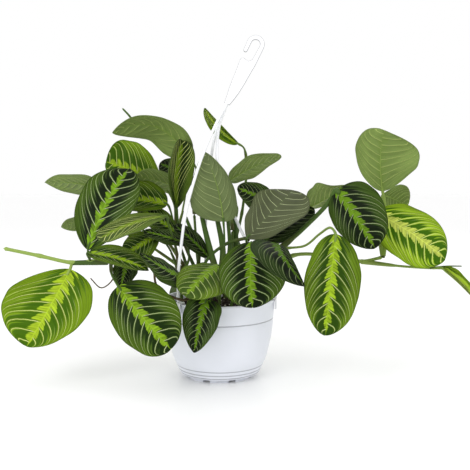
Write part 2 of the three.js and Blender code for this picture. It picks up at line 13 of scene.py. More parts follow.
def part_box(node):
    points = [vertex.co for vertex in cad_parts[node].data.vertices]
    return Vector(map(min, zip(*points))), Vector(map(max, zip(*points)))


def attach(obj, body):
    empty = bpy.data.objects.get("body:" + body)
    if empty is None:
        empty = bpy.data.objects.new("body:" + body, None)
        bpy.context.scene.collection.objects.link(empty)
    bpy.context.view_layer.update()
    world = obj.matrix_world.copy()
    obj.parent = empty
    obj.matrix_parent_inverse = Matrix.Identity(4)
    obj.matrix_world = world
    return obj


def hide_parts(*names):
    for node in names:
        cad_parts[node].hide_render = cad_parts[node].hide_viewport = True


bl_info = {
    "name": "Potted Prayer Plant",
    "version": (1, 0, 0),
    "blender": (4, 5, 0),
    "location": "3D View > Sidebar > Prayer Plant",
    "description": "Dresses the packed frame of a potted prayer plant with pot, hanger, soil and leaves",
    "category": "Add Mesh",
}

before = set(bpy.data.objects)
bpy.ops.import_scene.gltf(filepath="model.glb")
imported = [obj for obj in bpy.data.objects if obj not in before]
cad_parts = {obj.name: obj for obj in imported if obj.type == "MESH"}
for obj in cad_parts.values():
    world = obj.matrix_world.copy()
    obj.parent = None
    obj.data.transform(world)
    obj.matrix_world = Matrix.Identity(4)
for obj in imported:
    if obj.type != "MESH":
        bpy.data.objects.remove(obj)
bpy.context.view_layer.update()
POT_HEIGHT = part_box("pot")[1].z
RIM_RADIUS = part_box("pot")[1].x
SOIL_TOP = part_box("soil")[1].z
MERGE_DISTANCE = 1e-6


def colour(code):
    """A colour code such as #5f9a1d as linear red, green and blue."""
    shares = [int(code[start : start + 2], 16) / 255 for start in (1, 3, 5)]
    return tuple(c / 12.92 if c <= 0.04045 else ((c + 0.055) / 1.055) ** 2.4 for c in shares)


def length(name, description, default):
    """A size in metres that a user may change."""
    return FloatProperty(
        name=name, description=description, default=default, min=0.0, precision=5,
        subtype="DISTANCE", unit="LENGTH",
    )


def tint(name, description, code):
    """A colour that a user may change."""
    return FloatVectorProperty(
        name=name, description=description, default=colour(code), size=3, min=0.0, max=1.0,
        subtype="COLOR",
    )


class PotSettings(bpy.types.PropertyGroup):
    """Sizes and colours of the pot."""

    wall: length("Wall", "Thickness of the pot's wall", 0.0018)
    lip_height: length("Lip height", "Height of the lip round the rim", 0.0026)
    band_height: length("Band height", "Height of the plain band down to the moulded line", 0.024)
    base_radius: length("Base radius", "Radius of the bowl's wall, carried down to the ground", 0.046)
    foot_radius: length("Foot radius", "Radius of the foot under the bowl", 0.041)
    foot_height: length("Foot height", "Height of the foot under the bowl", 0.005)
    segments: IntProperty(name="Segments", description="Faces round the pot", default=160, min=32)
    plastic: tint("Plastic", "Colour of the pot", "#e5e8f0")
    dust: tint("Dust", "Colour of the dust low on the pot", "#bdb9b0")


class HangerSettings(bpy.types.PropertyGroup):
    """Sizes and colours of the hanger."""

    strand_radius: length("Strand radius", "Radius of each strand", 0.0018)
    thickness: length("Thickness", "Thickness of the hook and its palm", 0.004)
    clip_width: length("Clip width", "Width of each clip over the rim", 0.009)
    plastic: tint("Plastic", "Colour of the hanger", "#f3f4f7")


class SoilSettings(bpy.types.PropertyGroup):
    """Sizes and colours of the soil."""

    lump: length("Lumps", "Height of the soil's lumps", 0.0022)
    crumbs: IntProperty(name="Crumbs", description="Loose crumbs on the soil", default=320, min=0)
    grains: IntProperty(name="Grains", description="Pale grains on the soil", default=60, min=0)
    earth: tint("Earth", "Colour of the soil", "#1f1711")
    bark: tint("Bark", "Colour of the bark crumbs", "#2c2017")
    grain: tint("Grain", "Colour of the pale grains", "#d8d2c2")


class LeafSettings(bpy.types.PropertyGroup):
    """Sizes and colours of the leaf blades."""

    thickness: length("Thickness", "Thickness of a blade", 0.0006)
    relief: length("Relief", "Height of the pleats between the side veins", 0.0004)
    rows: IntProperty(name="Rows", description="Steps along a blade", default=56, min=12)
    columns: IntProperty(name="Columns", description="Steps across a blade", default=36, min=8)
    dark: tint("Dark green", "Body of an old leaf", "#324818")
    lime: tint("Lime green", "Body of a young leaf", "#668210")
    gold: tint("Gold", "Body of the palest young leaf", "#9dbb2c")
    patch: tint("Patch", "Dark patches between an old leaf's side veins", "#101c07")
    patch_lime: tint("Green patch", "Patches between a young leaf's side veins", "#386000")
    bone_green: tint("Green herringbone", "Herringbone of an old leaf", "#4a7a16")
    bone_lime: tint("Lime herringbone", "Herringbone of a young leaf", "#9cb726")
    bone_pale: tint("Pale herringbone", "Herringbone of the palest young leaf", "#bfcc58")
    vein: tint("Vein", "Side veins of an old leaf", "#cbd8a2")
    vein_lime: tint("Lime vein", "Side veins of a young leaf", "#f4fc9c")
    # Grey of the painted sheen, the glare of light greying a blade.
    grey: tint("Grey sheen", "Body of a weathered leaf", "#5a5f45")
    under: tint("Underside", "Underside of an old leaf", "#5a6a42")
    under_lime: tint("Lime underside", "Underside of a young leaf", "#7d934c")


class StalkSettings(bpy.types.PropertyGroup):
    """Sizes and colours of stems and leaf stalks."""

    stem_radius: length("Stem radius", "Radius of a stem", 0.0022)
    stalk_radius: length("Stalk radius", "Radius of a leaf stalk", 0.0012)
    green: tint("Green", "Skin of a leaf stalk", "#3f5a1c")
    lime: tint("Lime", "Skin of a young runner", "#8ba24c")
    rust: tint("Rust", "Reddish brown of old sheaths", "#54402a")


class StageSettings(bpy.types.PropertyGroup):
    """Floor, light and camera."""

    floor: tint("Floor", "Colour of the floor", "#fdfdfd")
    camera_place: FloatVectorProperty(
        name="Camera place", description="Where the camera stands", default=(0.019, -0.9, 0.25),
        size=3, subtype="TRANSLATION", unit="LENGTH",
    )
    camera_dip: FloatProperty(
        name="Camera dip", description="How far the camera looks down", default=math.radians(4.7),
        subtype="ANGLE", unit="ROTATION",
    )
    lens: FloatProperty(name="Lens", description="Focal length in millimetres", default=55.6, min=1.0)
    light: FloatProperty(name="Light", description="Watts of the main lamp", default=9.5, min=0.0)


# Shader maths


def feed(tree, socket, value):
    """Links a field or a socket into a socket, or sets the socket's own value."""
    if isinstance(value, Field):
        value = value.socket
    if isinstance(value, bpy.types.NodeSocket):
        tree.links.new(value, socket)
    elif socket.type == "RGBA" and len(value) == 3:
        socket.default_value = (*value, 1)
    else:
        socket.default_value = value


class Field:
    """A number that changes over a surface, worked out by Math nodes."""

    def __init__(self, tree, socket):
        self.tree = tree
        self.socket = socket

    def maths(self, operation, *values):
        return maths(self.tree, operation, self, *values)

    def __add__(self, other):
        return self.maths("ADD", other)

    __radd__ = __add__

    def __sub__(self, other):
        return self.maths("SUBTRACT", other)

    def __rsub__(self, other):
        return maths(self.tree, "SUBTRACT", other, self)

    def __mul__(self, other):
        return self.maths("MULTIPLY", other)

    __rmul__ = __mul__

    def __truediv__(self, other):
        return self.maths("DIVIDE", other)

    def __abs__(self):
        return self.maths("ABSOLUTE")


def maths(tree, operation, *values):
    """The field that one Math node makes of numbers and fields."""
    node = tree.nodes.new("ShaderNodeMath")
    node.operation = operation
    for socket, value in zip(node.inputs, values):
        feed(tree, socket, value)
    return Field(tree, node.outputs[0])


def rise(field, low, high):
    """0 below low, 1 above high, and smooth between them."""
    node = field.tree.nodes.new("ShaderNodeMapRange")
    node.interpolation_type = "SMOOTHSTEP"
    for name, value in (("Value", field), ("From Min", low), ("From Max", high)):
        feed(field.tree, node.inputs[name], value)
    return Field(field.tree, node.outputs["Result"])


def mix(tree, share, first, second):
    """The first colour where share is 0 and the second where it is 1."""
    node = tree.nodes.new("ShaderNodeMix")
    node.data_type = "RGBA"
    feed(tree, node.inputs[0], share)
    feed(tree, node.inputs[6], first)
    feed(tree, node.inputs[7], second)
    return node.outputs[2]


def shade(tree, picture, factor):
    """A colour made lighter or darker by a field."""
    node = tree.nodes.new("ShaderNodeVectorMath")
    node.operation = "SCALE"
    feed(tree, node.inputs[0], picture)
    feed(tree, node.inputs["Scale"], factor)
    return node.outputs[0]


def speckle(tree, vector, scale, detail):
    """Soft noise from 0 to 1, around a half."""
    node = tree.nodes.new("ShaderNodeTexNoise")
    feed(tree, node.inputs["Vector"], vector)
    node.inputs["Scale"].default_value = scale
    node.inputs["Detail"].default_value = detail
    return Field(tree, node.outputs["Fac"])


def stretch(tree, vector, scale, shift=None):
    """A vector scaled on each axis, and moved along Z by a field if one is given."""
    node = tree.nodes.new("ShaderNodeMapping")
    feed(tree, node.inputs["Vector"], vector)
    node.inputs["Scale"].default_value = scale
    if shift is not None:
        feed(tree, node.inputs["Location"], combine(tree, 0, 0, shift))
    return node.outputs[0]


def coordinates(tree, kind):
    """A piece's Object coordinates or its UV map."""
    return tree.nodes.new("ShaderNodeTexCoord").outputs[kind]


def attribute(tree, name):
    """A value painted on the points of a piece."""
    node = tree.nodes.new("ShaderNodeAttribute")
    node.attribute_name = name
    return Field(tree, node.outputs["Fac"])


def combine(tree, *values):
    """A vector of three numbers or fields."""
    node = tree.nodes.new("ShaderNodeCombineXYZ")
    for socket, value in zip(node.inputs, values):
        feed(tree, socket, value)
    return node.outputs[0]


def axes(tree, vector):
    """The three numbers of a vector, as fields."""
    node = tree.nodes.new("ShaderNodeSeparateXYZ")
    tree.links.new(vector, node.inputs[0])
    return [Field(tree, socket) for socket in node.outputs]


def new_group(name, entries, results):
    """A shader node group with named entries and results: its tree, and its two end nodes."""
    tree = bpy.data.node_groups.new(name, "ShaderNodeTree")
    kinds = {"colour": "NodeSocketColor", "number": "NodeSocketFloat", "vector": "NodeSocketVector"}
    for label, kind in entries.items():
        tree.interface.new_socket(label, in_out="INPUT", socket_type=kinds[kind])
    for label, kind in results.items():
        tree.interface.new_socket(label, in_out="OUTPUT", socket_type=kinds[kind])
    return tree, tree.nodes.new("NodeGroupInput"), tree.nodes.new("NodeGroupOutput")


def place_group(tree, group, **values):
    """Puts a node group into a material with its own values."""
    node = tree.nodes.new("ShaderNodeGroup")
    node.node_tree = group
    for name, value in values.items():
        feed(tree, node.inputs[name.replace("_", " ").capitalize()], value)
    return node


def new_material(name, look, constants, depth):
    """A material from a look's Colour, Roughness and Height, with the shader's own constants."""
    made = bpy.data.materials.new(name)
    made.use_nodes = True
    tree = made.node_tree
    shader = tree.nodes["Principled BSDF"]
    for socket, value in constants.items():
        shader.inputs[socket].default_value = value
    sources = look(tree)
    bump = tree.nodes.new("ShaderNodeBump")
    bump.inputs["Distance"].default_value = depth
    feed(tree, bump.inputs["Height"], sources["Height"])
    feed(tree, shader.inputs["Normal"], bump.outputs["Normal"])
    feed(tree, shader.inputs["Base Color"], sources["Colour"])
    feed(tree, shader.inputs["Roughness"], sources["Roughness"])
    return made


# Mesh tools


def deselect():
    """Leaves edit mode and selects nothing."""
    if bpy.context.object and bpy.context.object.mode != "OBJECT":
        bpy.ops.object.mode_set(mode="OBJECT")
    bpy.ops.object.select_all(action="DESELECT")


def activate(*pieces):
    """Selects the pieces, the first of them active."""
    deselect()
    for piece in pieces:
        piece.select_set(True)
    bpy.context.view_layer.objects.active = pieces[0]


def rename(piece, name):
    """Names a piece and its mesh."""
    piece.name = name
    piece.data.name = name
    return piece


def join(name, pieces):
    """Makes one piece of several, each keeping its materials."""
    activate(*pieces)
    bpy.ops.object.join()
    return rename(pieces[0], name)


def apply_modifier(piece, kind, **settings):
    """Adds a modifier with the given settings and applies it."""
    activate(piece)
    modifier = piece.modifiers.new(kind.title(), kind)
    for setting, value in settings.items():
        setattr(modifier, setting, value)
    bpy.ops.object.modifier_apply(modifier=modifier.name)


def tidy_normals(piece):
    """Merges doubled points and turns every face outwards."""
    activate(piece)
    bpy.ops.object.mode_set(mode="EDIT")
    bpy.ops.mesh.select_all(action="SELECT")
    bpy.ops.mesh.remove_doubles(threshold=MERGE_DISTANCE)
    bpy.ops.mesh.normals_make_consistent(inside=False)
    bpy.ops.object.mode_set(mode="OBJECT")


def smooth(piece, angle):
    """Shades a piece smooth but for edges sharper than an angle in degrees."""
    activate(piece)
    bpy.ops.object.shade_smooth_by_angle(angle=math.radians(angle))


def bent_grid(name, columns, rows, place):
    """A grid bent by a formula: place gives the point at a share across and a share along."""
    deselect()
    bpy.ops.mesh.primitive_grid_add(x_subdivisions=columns, y_subdivisions=rows, size=1)
    piece = rename(bpy.context.object, name)
    for vertex in piece.data.vertices:
        vertex.co = place(vertex.co.x + 0.5, vertex.co.y + 0.5)
    bpy.ops.object.mode_set(mode="EDIT")
    bpy.ops.mesh.select_all(action="SELECT")
    bpy.ops.mesh.remove_doubles(threshold=MERGE_DISTANCE)
    bpy.ops.object.mode_set(mode="OBJECT")
    bpy.ops.object.shade_smooth()
    return piece


def curve_points(points, count):
    """Points evenly spaced along a smooth curve through the given ones."""
    steps = 12
    knots = [Vector(point) for point in points]
    knots = [2 * knots[0] - knots[1], *knots, 2 * knots[-1] - knots[-2]]
    fine = [knots[1]]
    for before, start, end, after in zip(knots, knots[1:], knots[2:], knots[3:]):
        gaps = [(b - a).length ** 0.5 for a, b in ((before, start), (start, end), (end, after))]
        leave = (start - before) / gaps[0] - (end - before) / (gaps[0] + gaps[1]) + (end - start) / gaps[1]
        arrive = (end - start) / gaps[1] - (after - start) / (gaps[1] + gaps[2]) + (after - end) / gaps[2]
        leave, arrive = leave * gaps[1], arrive * gaps[1]
        for step in range(1, steps + 1):
            t = step / steps
            fine.append(
                start * (2 * t**3 - 3 * t**2 + 1) + leave * (t**3 - 2 * t**2 + t)
                + end * (3 * t**2 - 2 * t**3) + arrive * (t**3 - t**2)
            )
    reach = [0.0]
    for here, after in zip(fine, fine[1:]):
        reach.append(reach[-1] + (after - here).length)
    even = []
    index = 0
    for step in range(count + 1):
        goal = reach[-1] * step / count
        while index < len(fine) - 2 and reach[index + 1] < goal:
            index += 1
        part = (goal - reach[index]) / (reach[index + 1] - reach[index])
        even.append(fine[index].lerp(fine[index + 1], min(1, part)))
    return even


def tube(name, points, thickness, sides, step=0.003):
    """A round bar along a smooth curve with closed ends: thickness gives its radius at each share."""
    span = sum((Vector(b) - Vector(a)).length for a, b in zip(points, points[1:]))
    rows = max(8, round(span / step))
    middles = curve_points(points, rows)
    aheads = [
        (middles[min(row + 1, rows)] - middles[max(row - 1, 0)]).normalized() for row in range(rows + 1)
    ]
    across = aheads[0].orthogonal().normalized()
    frames = []
    for ahead in aheads:
        across = (across - across.dot(ahead) * ahead).normalized()
        frames.append((across.copy(), ahead.cross(across)))

    def place(around, along):
        row = round(along * rows)
        if row in (0, rows):
            return middles[row]
        turn = 2 * math.pi * around
        right, over = frames[row]
        radius = thickness(along)
        return middles[row] + radius * (math.cos(turn) * right + math.sin(turn) * over)

    return bent_grid(name, sides, rows, place)


def paint(piece, **values):
    """Gives every point of a piece the same value of each named attribute."""
    for name, value in values.items():
        made = piece.data.attributes.new(name, "FLOAT", "POINT")
        made.data.foreach_set("value", [value] * len(piece.data.vertices))
    return piece


def flat_piece(name, outline, thickness, bevel):
    """A flat outline in X and Y made into a plate with rounded edges, centred on Z."""
    deselect()
    bpy.ops.curve.primitive_bezier_circle_add(radius=0.01)
    piece = rename(bpy.context.object, name)
    curve = piece.data
    curve.splines.clear()
    spline = curve.splines.new("POLY")
    spline.points.add(len(outline) - 1)
    for point, (x, y) in zip(spline.points, outline):
        point.co = (x, y, 0, 1)
    spline.use_cyclic_u = True
    curve.dimensions = "2D"
    curve.fill_mode = "BOTH"
    curve.offset = -bevel
    curve.extrude = thickness / 2 - bevel
    curve.bevel_depth = bevel
    curve.bevel_resolution = 3
    activate(piece)
    bpy.ops.object.convert(target="MESH")
    piece = bpy.context.object
    tidy_normals(piece)
    return piece


def finish_piece(piece, materials, slot, *nodes):
    """Gives a finished piece its materials, if it has none yet, its body, and hides its replaced nodes;
    slot is not used.
    """
    if materials:
        piece.data.materials.clear()
        for made in materials:
            piece.data.materials.append(made)
    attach(piece, "root")
    if nodes:
        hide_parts(*nodes)


# Moulded plastic, shared by the pot and the hanger


def moulded_plastic():
    """Plastic with a faint mottle, dust towards the foot and the fine grain of a mould."""
    tree, entry, leave = new_group(
        "Moulded plastic",
        {
            "Place": "vector", "Plastic": "colour", "Dust": "colour", "Dusty height": "number",
            "Gloss": "number",
        },
        {"Colour": "colour", "Roughness": "number", "Height": "number"},
    )
    place = entry.outputs["Place"]
    cloud = speckle(tree, place, 22, 3)
    grain = speckle(tree, place, 900, 2)
    streaks = speckle(tree, stretch(tree, place, (160, 160, 9)), 1, 3)
    height = axes(tree, place)[2]
    low = 1 - rise(height, 0, Field(tree, entry.outputs["Dusty height"]))
    dust = low * rise(cloud * 0.6 + streaks * 0.4, 0.42, 0.75) * 0.15
    plain = shade(tree, entry.outputs["Plastic"], 0.96 + cloud * 0.08)
    feed(tree, leave.inputs["Colour"], mix(tree, dust, plain, entry.outputs["Dust"]))
    gloss = Field(tree, entry.outputs["Gloss"])
    feed(tree, leave.inputs["Roughness"], 1 - gloss + cloud * 0.14 + dust * 0.4)
    feed(tree, leave.inputs["Height"], grain * 0.35 + streaks * 0.4 + cloud * 0.25)
    return tree


def plastic_material(name, plastic, dust, dusty_height, gloss, lines=(), edge=0.0):
    """Plastic with painted shade in its moulded lines at the given heights and on its edge-marked sides."""
    group = bpy.data.node_groups.get("Moulded plastic") or moulded_plastic()
    groove_shade = 0.4

    def look(tree):
        place = coordinates(tree, "Object")
        values = {"plastic": plastic, "dust": dust, "dusty_height": dusty_height, "gloss": gloss}
        outputs = place_group(tree, group, place=place, **values).outputs
        height = axes(tree, place)[2]
        painted_shade_factor = 1.0
        # Painted shade: each moulded line is darkened by groove_shade, as shade falls in the groove.
        for line in lines:
            away = rise(abs(height - line), 0.0003, 0.0011)
            painted_shade_factor = (1 - groove_shade + away * groove_shade) * painted_shade_factor
        # Painted shade: sides marked by the edge attribute are darkened by the edge share.
        if edge:
            painted_shade_factor = 1 - attribute(tree, "edge") * edge
        picture = shade(tree, outputs["Colour"], painted_shade_factor)
        return {"Colour": picture, "Roughness": outputs["Roughness"], "Height": outputs["Height"]}

    constants = {"Specular IOR Level": 0.5, "Coat Weight": 0.08, "Coat Roughness": 0.25}
    return new_material(name, look, constants, 0.00006)


# Pot

STEP_LEVELS = (0.007, 0.011, 0.016)
BOWL_LEVELS = (0.022, 0.027, 0.034, 0.042, 0.05, 0.058, 0.066)
INNER_LEVELS = (0.05, 0.027, 0.012)
LINE_RADIUS = 0.067
BAND_RADIUS = 0.0688
DRAIN_SLOTS = 8


def pot_radius(settings, height):
    """Outside radius of the pot's wall at a height."""
    line = POT_HEIGHT - settings.band_height
    bowl = (
        (0, settings.base_radius), (0.008, 0.0508), (0.018, 0.0552), (0.027, 0.0586), (0.05, 0.064),
        (line, LINE_RADIUS), (POT_HEIGHT, BAND_RADIUS),
    )
    for (low, inner), (high, outer) in zip(bowl, bowl[1:]):
        if height <= high:
            return inner + (outer - inner) * (height - low) / (high - low)
    return bowl[-1][1]


def pot_rings(settings):
    """Rings of radius and height up the outside, over the lip and down the inside."""
    line = POT_HEIGHT - settings.band_height
    lip = POT_HEIGHT - settings.lip_height
    ledge = 0.0005
    foot, shelf = settings.foot_radius, settings.foot_height
    rings = [(foot + ledge, shelf - 0.001), (pot_radius(settings, shelf), shelf)]
    for level in STEP_LEVELS:
        radius = pot_radius(settings, level)
        rings += [(radius, level - ledge), (radius - ledge, level), (radius + ledge, level + ledge)]
    for level in BOWL_LEVELS:
        rings.append((pot_radius(settings, level) + ledge, level))
    groove = 0.0008
    rings += [(LINE_RADIUS, line - groove), (LINE_RADIUS - groove, line), (0.0672, line + groove)]
    rings += [(0.068, line + 0.012), (0.0686, lip), (RIM_RADIUS, lip), (RIM_RADIUS, POT_HEIGHT)]
    rings.append((BAND_RADIUS - settings.wall, POT_HEIGHT))
    for level in (line, *INNER_LEVELS):
        rings.append((pot_radius(settings, level) - settings.wall, level))
    shelf += settings.wall
    rings.append((pot_radius(settings, shelf) - settings.wall - 0.001, shelf + 0.0004))
    rings.append((foot - settings.wall, shelf))
    floor = foot - settings.wall - 0.001
    rings += [(floor, settings.wall + 0.001), (floor - 0.002, settings.wall)]
    return rings


def drain_cutters(settings):
    """Blocks that cut the drain slots out of the pot's bottom edge."""
    deselect()
    place = (0, -settings.foot_radius, 0)
    slot_size = (0.009, 0.013, 0.007)
    bpy.ops.mesh.primitive_cube_add(size=1, location=place, scale=slot_size)
    bpy.ops.object.transform_apply(location=True, rotation=True, scale=True)
    first = bpy.context.object
    apply_modifier(first, "BEVEL", width=0.001, segments=3)
    cutters = []
    for count in range(DRAIN_SLOTS):
        cutter = first.copy()
        cutter.data = first.data.copy()
        bpy.context.collection.objects.link(cutter)
        cutter.data.transform(Matrix.Rotation((count + 0.5) / DRAIN_SLOTS * 2 * math.pi, 4, "Z"))
        cutters.append(cutter)
    bpy.data.objects.remove(first)
    return join("drain_cutters", cutters)


def build_pot(settings):
    """Draws the pot up ring by ring from its foot, and cuts its drain slots."""
    deselect()
    bpy.ops.mesh.primitive_circle_add(
        vertices=settings.segments, radius=settings.foot_radius, fill_type="TRIFAN"
    )
    pot = rename(bpy.context.object, "pot_shell")
    bpy.ops.object.mode_set(mode="EDIT")
    bpy.ops.mesh.select_all(action="DESELECT")
    bpy.ops.mesh.select_mode(type="EDGE")
    bpy.ops.mesh.select_non_manifold()
    here = (settings.foot_radius, 0)
    for radius, height in pot_rings(settings):
        bpy.ops.mesh.extrude_region_move(TRANSFORM_OT_translate={"value": (0, 0, height - here[1])})
        scale = radius / here[0]
        bpy.ops.transform.resize(value=(scale, scale, 1), center_override=(0, 0, height))
        here = (radius, height)
    bpy.ops.mesh.extrude_region_move()
    bpy.ops.mesh.merge(type="CENTER")
    bpy.ops.object.mode_set(mode="OBJECT")
    tidy_normals(pot)
    cutters = drain_cutters(settings)
    apply_modifier(pot, "BOOLEAN", operation="DIFFERENCE", solver="EXACT", object=cutters)
    bpy.data.objects.remove(cutters)
    sharp = math.radians(40)
    apply_modifier(pot, "BEVEL", width=0.0002, segments=2, limit_method="ANGLE", angle_limit=sharp)
    smooth(pot, 35)
    # Heights of the moulded lines, which the pot plastic darkens with painted shade.
    lines = (*STEP_LEVELS, POT_HEIGHT - settings.band_height)
    plastic = plastic_material("Pot plastic", settings.plastic, settings.dust, 0.03, 0.62, lines)
    finish_piece(pot, [plastic], "pot_plastic", "pot")


# Hanger

UPRIGHT = Matrix.Rotation(math.pi / 2, 4, "X")
HOOK_LEAN = math.radians(26)
HANGER_KNOT = Vector((0.009, 0, 0.337))
HOOK_BEVEL = 0.0009
CLIP_ANGLES = {"front": -133, "right": -13, "back": 107}
STRAND_ROUTES = {
    "front": (
        (-0.003, -0.004, 0.315), (-0.019, -0.012, 0.278), (-0.03, -0.02, 0.245),
        (-0.04, -0.031, 0.205), (-0.045, -0.041, 0.167), (-0.048, -0.048, 0.135),
    ),
    "right": (
        (0, 0.002, 0.312), (-0.003, 0.004, 0.288), (-0.002, 0.003, 0.262), (0.012, -0.002, 0.215),
        (0.038, -0.009, 0.16),
    ),
    "back": ((-0.002, 0.005, 0.312), (-0.009, 0.013, 0.284), (-0.015, 0.03, 0.235), (-0.02, 0.05, 0.175)),
}


def arc(middle, radius, start, end, steps=16):
    """Points of an arc between two angles in degrees."""
    turns = [math.radians(start + (end - start) * step / steps) for step in range(steps + 1)]
    return [(middle[0] + radius * math.cos(turn), middle[1] + radius * math.sin(turn)) for turn in turns]


def hook_outline():
    """The palm and the hook over it, from the knot up."""
    bend = (0, 0.08)
    return [
        (-0.0035, 0), (0.0035, 0), (0.0058, 0.009), (0.0075, 0.018), (0.0088, 0.029), (0.0095, 0.04),
        (0.0103, 0.05), (0.011, 0.058),
        *arc(bend, 0.011, 0, 180),
        *arc((-0.008, 0.0685), 0.0025, 180, 360, 8),
        *arc(bend, 0.0055, 180, 0),
        (0.0045, 0.062), (0.003, 0.0595), (0.001, 0.058), (-0.003, 0.0585), (-0.006, 0.059),
        (-0.0082, 0.0578), (-0.009, 0.056), (-0.0083, 0.048), (-0.0075, 0.04), (-0.007, 0.029),
        (-0.006, 0.018), (-0.0046, 0.009),
    ]


def clip_outline():
    """A clip's section across the rim: outwards along X, upwards along Y."""
    air = 0.0005
    leg = 0.0018
    outer = RIM_RADIUS + air
    inner = 0.0657
    outer_leg, inner_leg = 0.012, 0.006
    top = POT_HEIGHT + 0.0003
    return [
        (outer, POT_HEIGHT - outer_leg), (outer + leg, POT_HEIGHT - outer_leg), (outer + leg, top + leg),
        (inner - leg, top + leg), (inner - leg, POT_HEIGHT - inner_leg), (inner, POT_HEIGHT - inner_leg),
        (inner, top), (outer, top),
    ]


def upright_hook(settings):
    """The palm and the hook, leaning, with their sides marked as edges for painted shade."""
    hook = flat_piece("hook", hook_outline(), settings.thickness, HOOK_BEVEL)
    edge = hook.data.attributes.new("edge", "FLOAT", "POINT")
    level = settings.thickness / 2 - 0.00005
    edge.data.foreach_set("value", [float(abs(point.co.z) < level) for point in hook.data.vertices])
    hook.data.transform(Matrix.Translation(HANGER_KNOT) @ Matrix.Rotation(HOOK_LEAN, 4, "Y") @ UPRIGHT)
    return hook


def build_hanger(settings):
    """Joins the hook, the three strands and their clips."""
    pieces = [upright_hook(settings)]
    for side, route in STRAND_ROUTES.items():
        angle = math.radians(CLIP_ANGLES[side])
        radius = RIM_RADIUS + 0.0004
        ends = [
            (radius * math.cos(angle), radius * math.sin(angle), POT_HEIGHT + rest)
            for rest in (0.014, 0.0014)
        ]
        start = (HANGER_KNOT.x + 0.002, 0, HANGER_KNOT.z + 0.005)
        points = [start, *route, *ends]

        def thickness(along):
            swell = math.exp(-(((1 - along) / 0.03) ** 2)) + math.exp(-((along / 0.05) ** 2))
            return settings.strand_radius * (1 + 0.25 * swell)

        pieces.append(tube("strand", points, thickness, sides=16))
        clip = flat_piece("clip", clip_outline(), settings.clip_width, 0.0005)
        clip.data.transform(Matrix.Rotation(angle, 4, "Z") @ UPRIGHT)
        pieces.append(clip)
    for piece in pieces:
        smooth(piece, 40)
    hanger = join("hanger_moulding", pieces)
    dust = (0.7, 0.7, 0.68)
    # edge=0.5: painted shade darkens the hook's sides by half.
    plastic = plastic_material("Hanger plastic", settings.plastic, dust, 0.01, 0.66, edge=0.5)
    finish_piece(hanger, [plastic], "hanger_plastic", "hanger")


# Soil

SOIL_GAP = 0.0006
SOIL_BOTTOM = 0.0075
SOIL_LEVELS = (0.082, 0.074, 0.05, 0.027, 0.012)
TOP_SHARE = 0.75
SCATTER_RADIUS = 0.062


def crumbly_earth():
    """Mottled crumbs of matt earth in two colours."""
    tree, entry, leave = new_group(
        "Crumbly earth",
        {"Place": "vector", "Base": "colour", "Second": "colour"},
        {"Colour": "colour", "Roughness": "number", "Height": "number"},
    )
    place = entry.outputs["Place"]
    coarse = speckle(tree, place, 260, 4)
    fine = speckle(tree, place, 1400, 3)
    damp = speckle(tree, place, 30, 2)
    picture = mix(tree, rise(coarse, 0.45, 0.7), entry.outputs["Base"], entry.outputs["Second"])
    feed(tree, leave.inputs["Colour"], shade(tree, picture, 0.45 + fine * 0.7 + damp * 0.35))
    feed(tree, leave.inputs["Roughness"], 0.82 + fine * 0.15)
    feed(tree, leave.inputs["Height"], coarse * 0.7 + fine * 0.4)
    return tree


def earth_material(name, group, base, second):
    """Earth, bark or grit, of a base colour mottled with a second one."""

    def look(tree):
        place = coordinates(tree, "Object")
        return place_group(tree, group, place=place, base=base, second=second).outputs

    return new_material(name, look, {"Specular IOR Level": 0.2}, 0.0012)


def soil_height(settings, x, y):
    """Height of the soil's lumpy top at a place."""
    radius = math.hypot(x, y) / 0.065
    dome = SOIL_TOP - 0.001 - 0.003 * radius**2
    lumps = noise.fractal(Vector((x, y, 0.3)) * 90, 0.8, 2.1, 4)
    return dome + settings.lump * (lumps - 0.35)


def soil_bed(settings, pot):
    """The soil as one closed body: its lumpy top, its wall inside the pot and its bottom."""
    edge = pot_radius(pot, SOIL_TOP) - pot.wall - SOIL_GAP
    last = len(SOIL_LEVELS) + 1

    def place(around, along):
        turn = 2 * math.pi * around
        if along <= TOP_SHARE:
            radius = edge * along / TOP_SHARE
            x, y = radius * math.cos(turn), radius * math.sin(turn)
            return Vector((x, y, soil_height(settings, x, y)))
        step = round((along - TOP_SHARE) / (1 - TOP_SHARE) * last)
        if step == last:
            return Vector((0, 0, SOIL_BOTTOM))
        level = SOIL_LEVELS[step - 1]
        radius = pot_radius(pot, level) - pot.wall - SOIL_GAP
        return Vector((radius * math.cos(turn), radius * math.sin(turn), level))

    return bent_grid("soil_bed", 96, 4 * last, place)


def scatter(name, settings, shapes, count, sizes, seed):
    """Copies of the shapes over the soil, joined into one piece."""
    draw = random.Random(seed)
    copies = []
    for index in range(count):
        shape = shapes[index % len(shapes)]
        copy = shape.copy()
        copy.data = shape.data.copy()
        bpy.context.collection.objects.link(copy)
        radius = SCATTER_RADIUS * math.sqrt(draw.random())
        turn = draw.uniform(0, 2 * math.pi)
        x, y = radius * math.cos(turn), radius * math.sin(turn)
        size = draw.uniform(*sizes)
        turned = Euler([draw.uniform(0, math.pi) for _ in range(3)]).to_matrix().to_4x4()
        place = Matrix.Translation((x, y, soil_height(settings, x, y) + size * 0.35))
        copy.data.transform(place @ turned @ Matrix.Scale(size, 4))
        copies.append(copy)
    for shape in shapes:
        bpy.data.objects.remove(shape)
    return join(name, copies)


def crumb_shapes(stretches):
    """Small knobbly lumps of unit size, one for each stretch."""
    shapes = []
    for index, amount in enumerate(stretches):
        deselect()
        bpy.ops.mesh.primitive_ico_sphere_add(subdivisions=2, radius=0.5)
        shape = bpy.context.object
        for vertex in shape.data.vertices:
            knob = 1 + 0.45 * noise.noise(vertex.co * 2.3 + Vector((index * 7.1, 0, 0)))
            vertex.co = Vector(c * knob * s for c, s in zip(vertex.co, amount))
        shapes.append(shape)
    return shapes


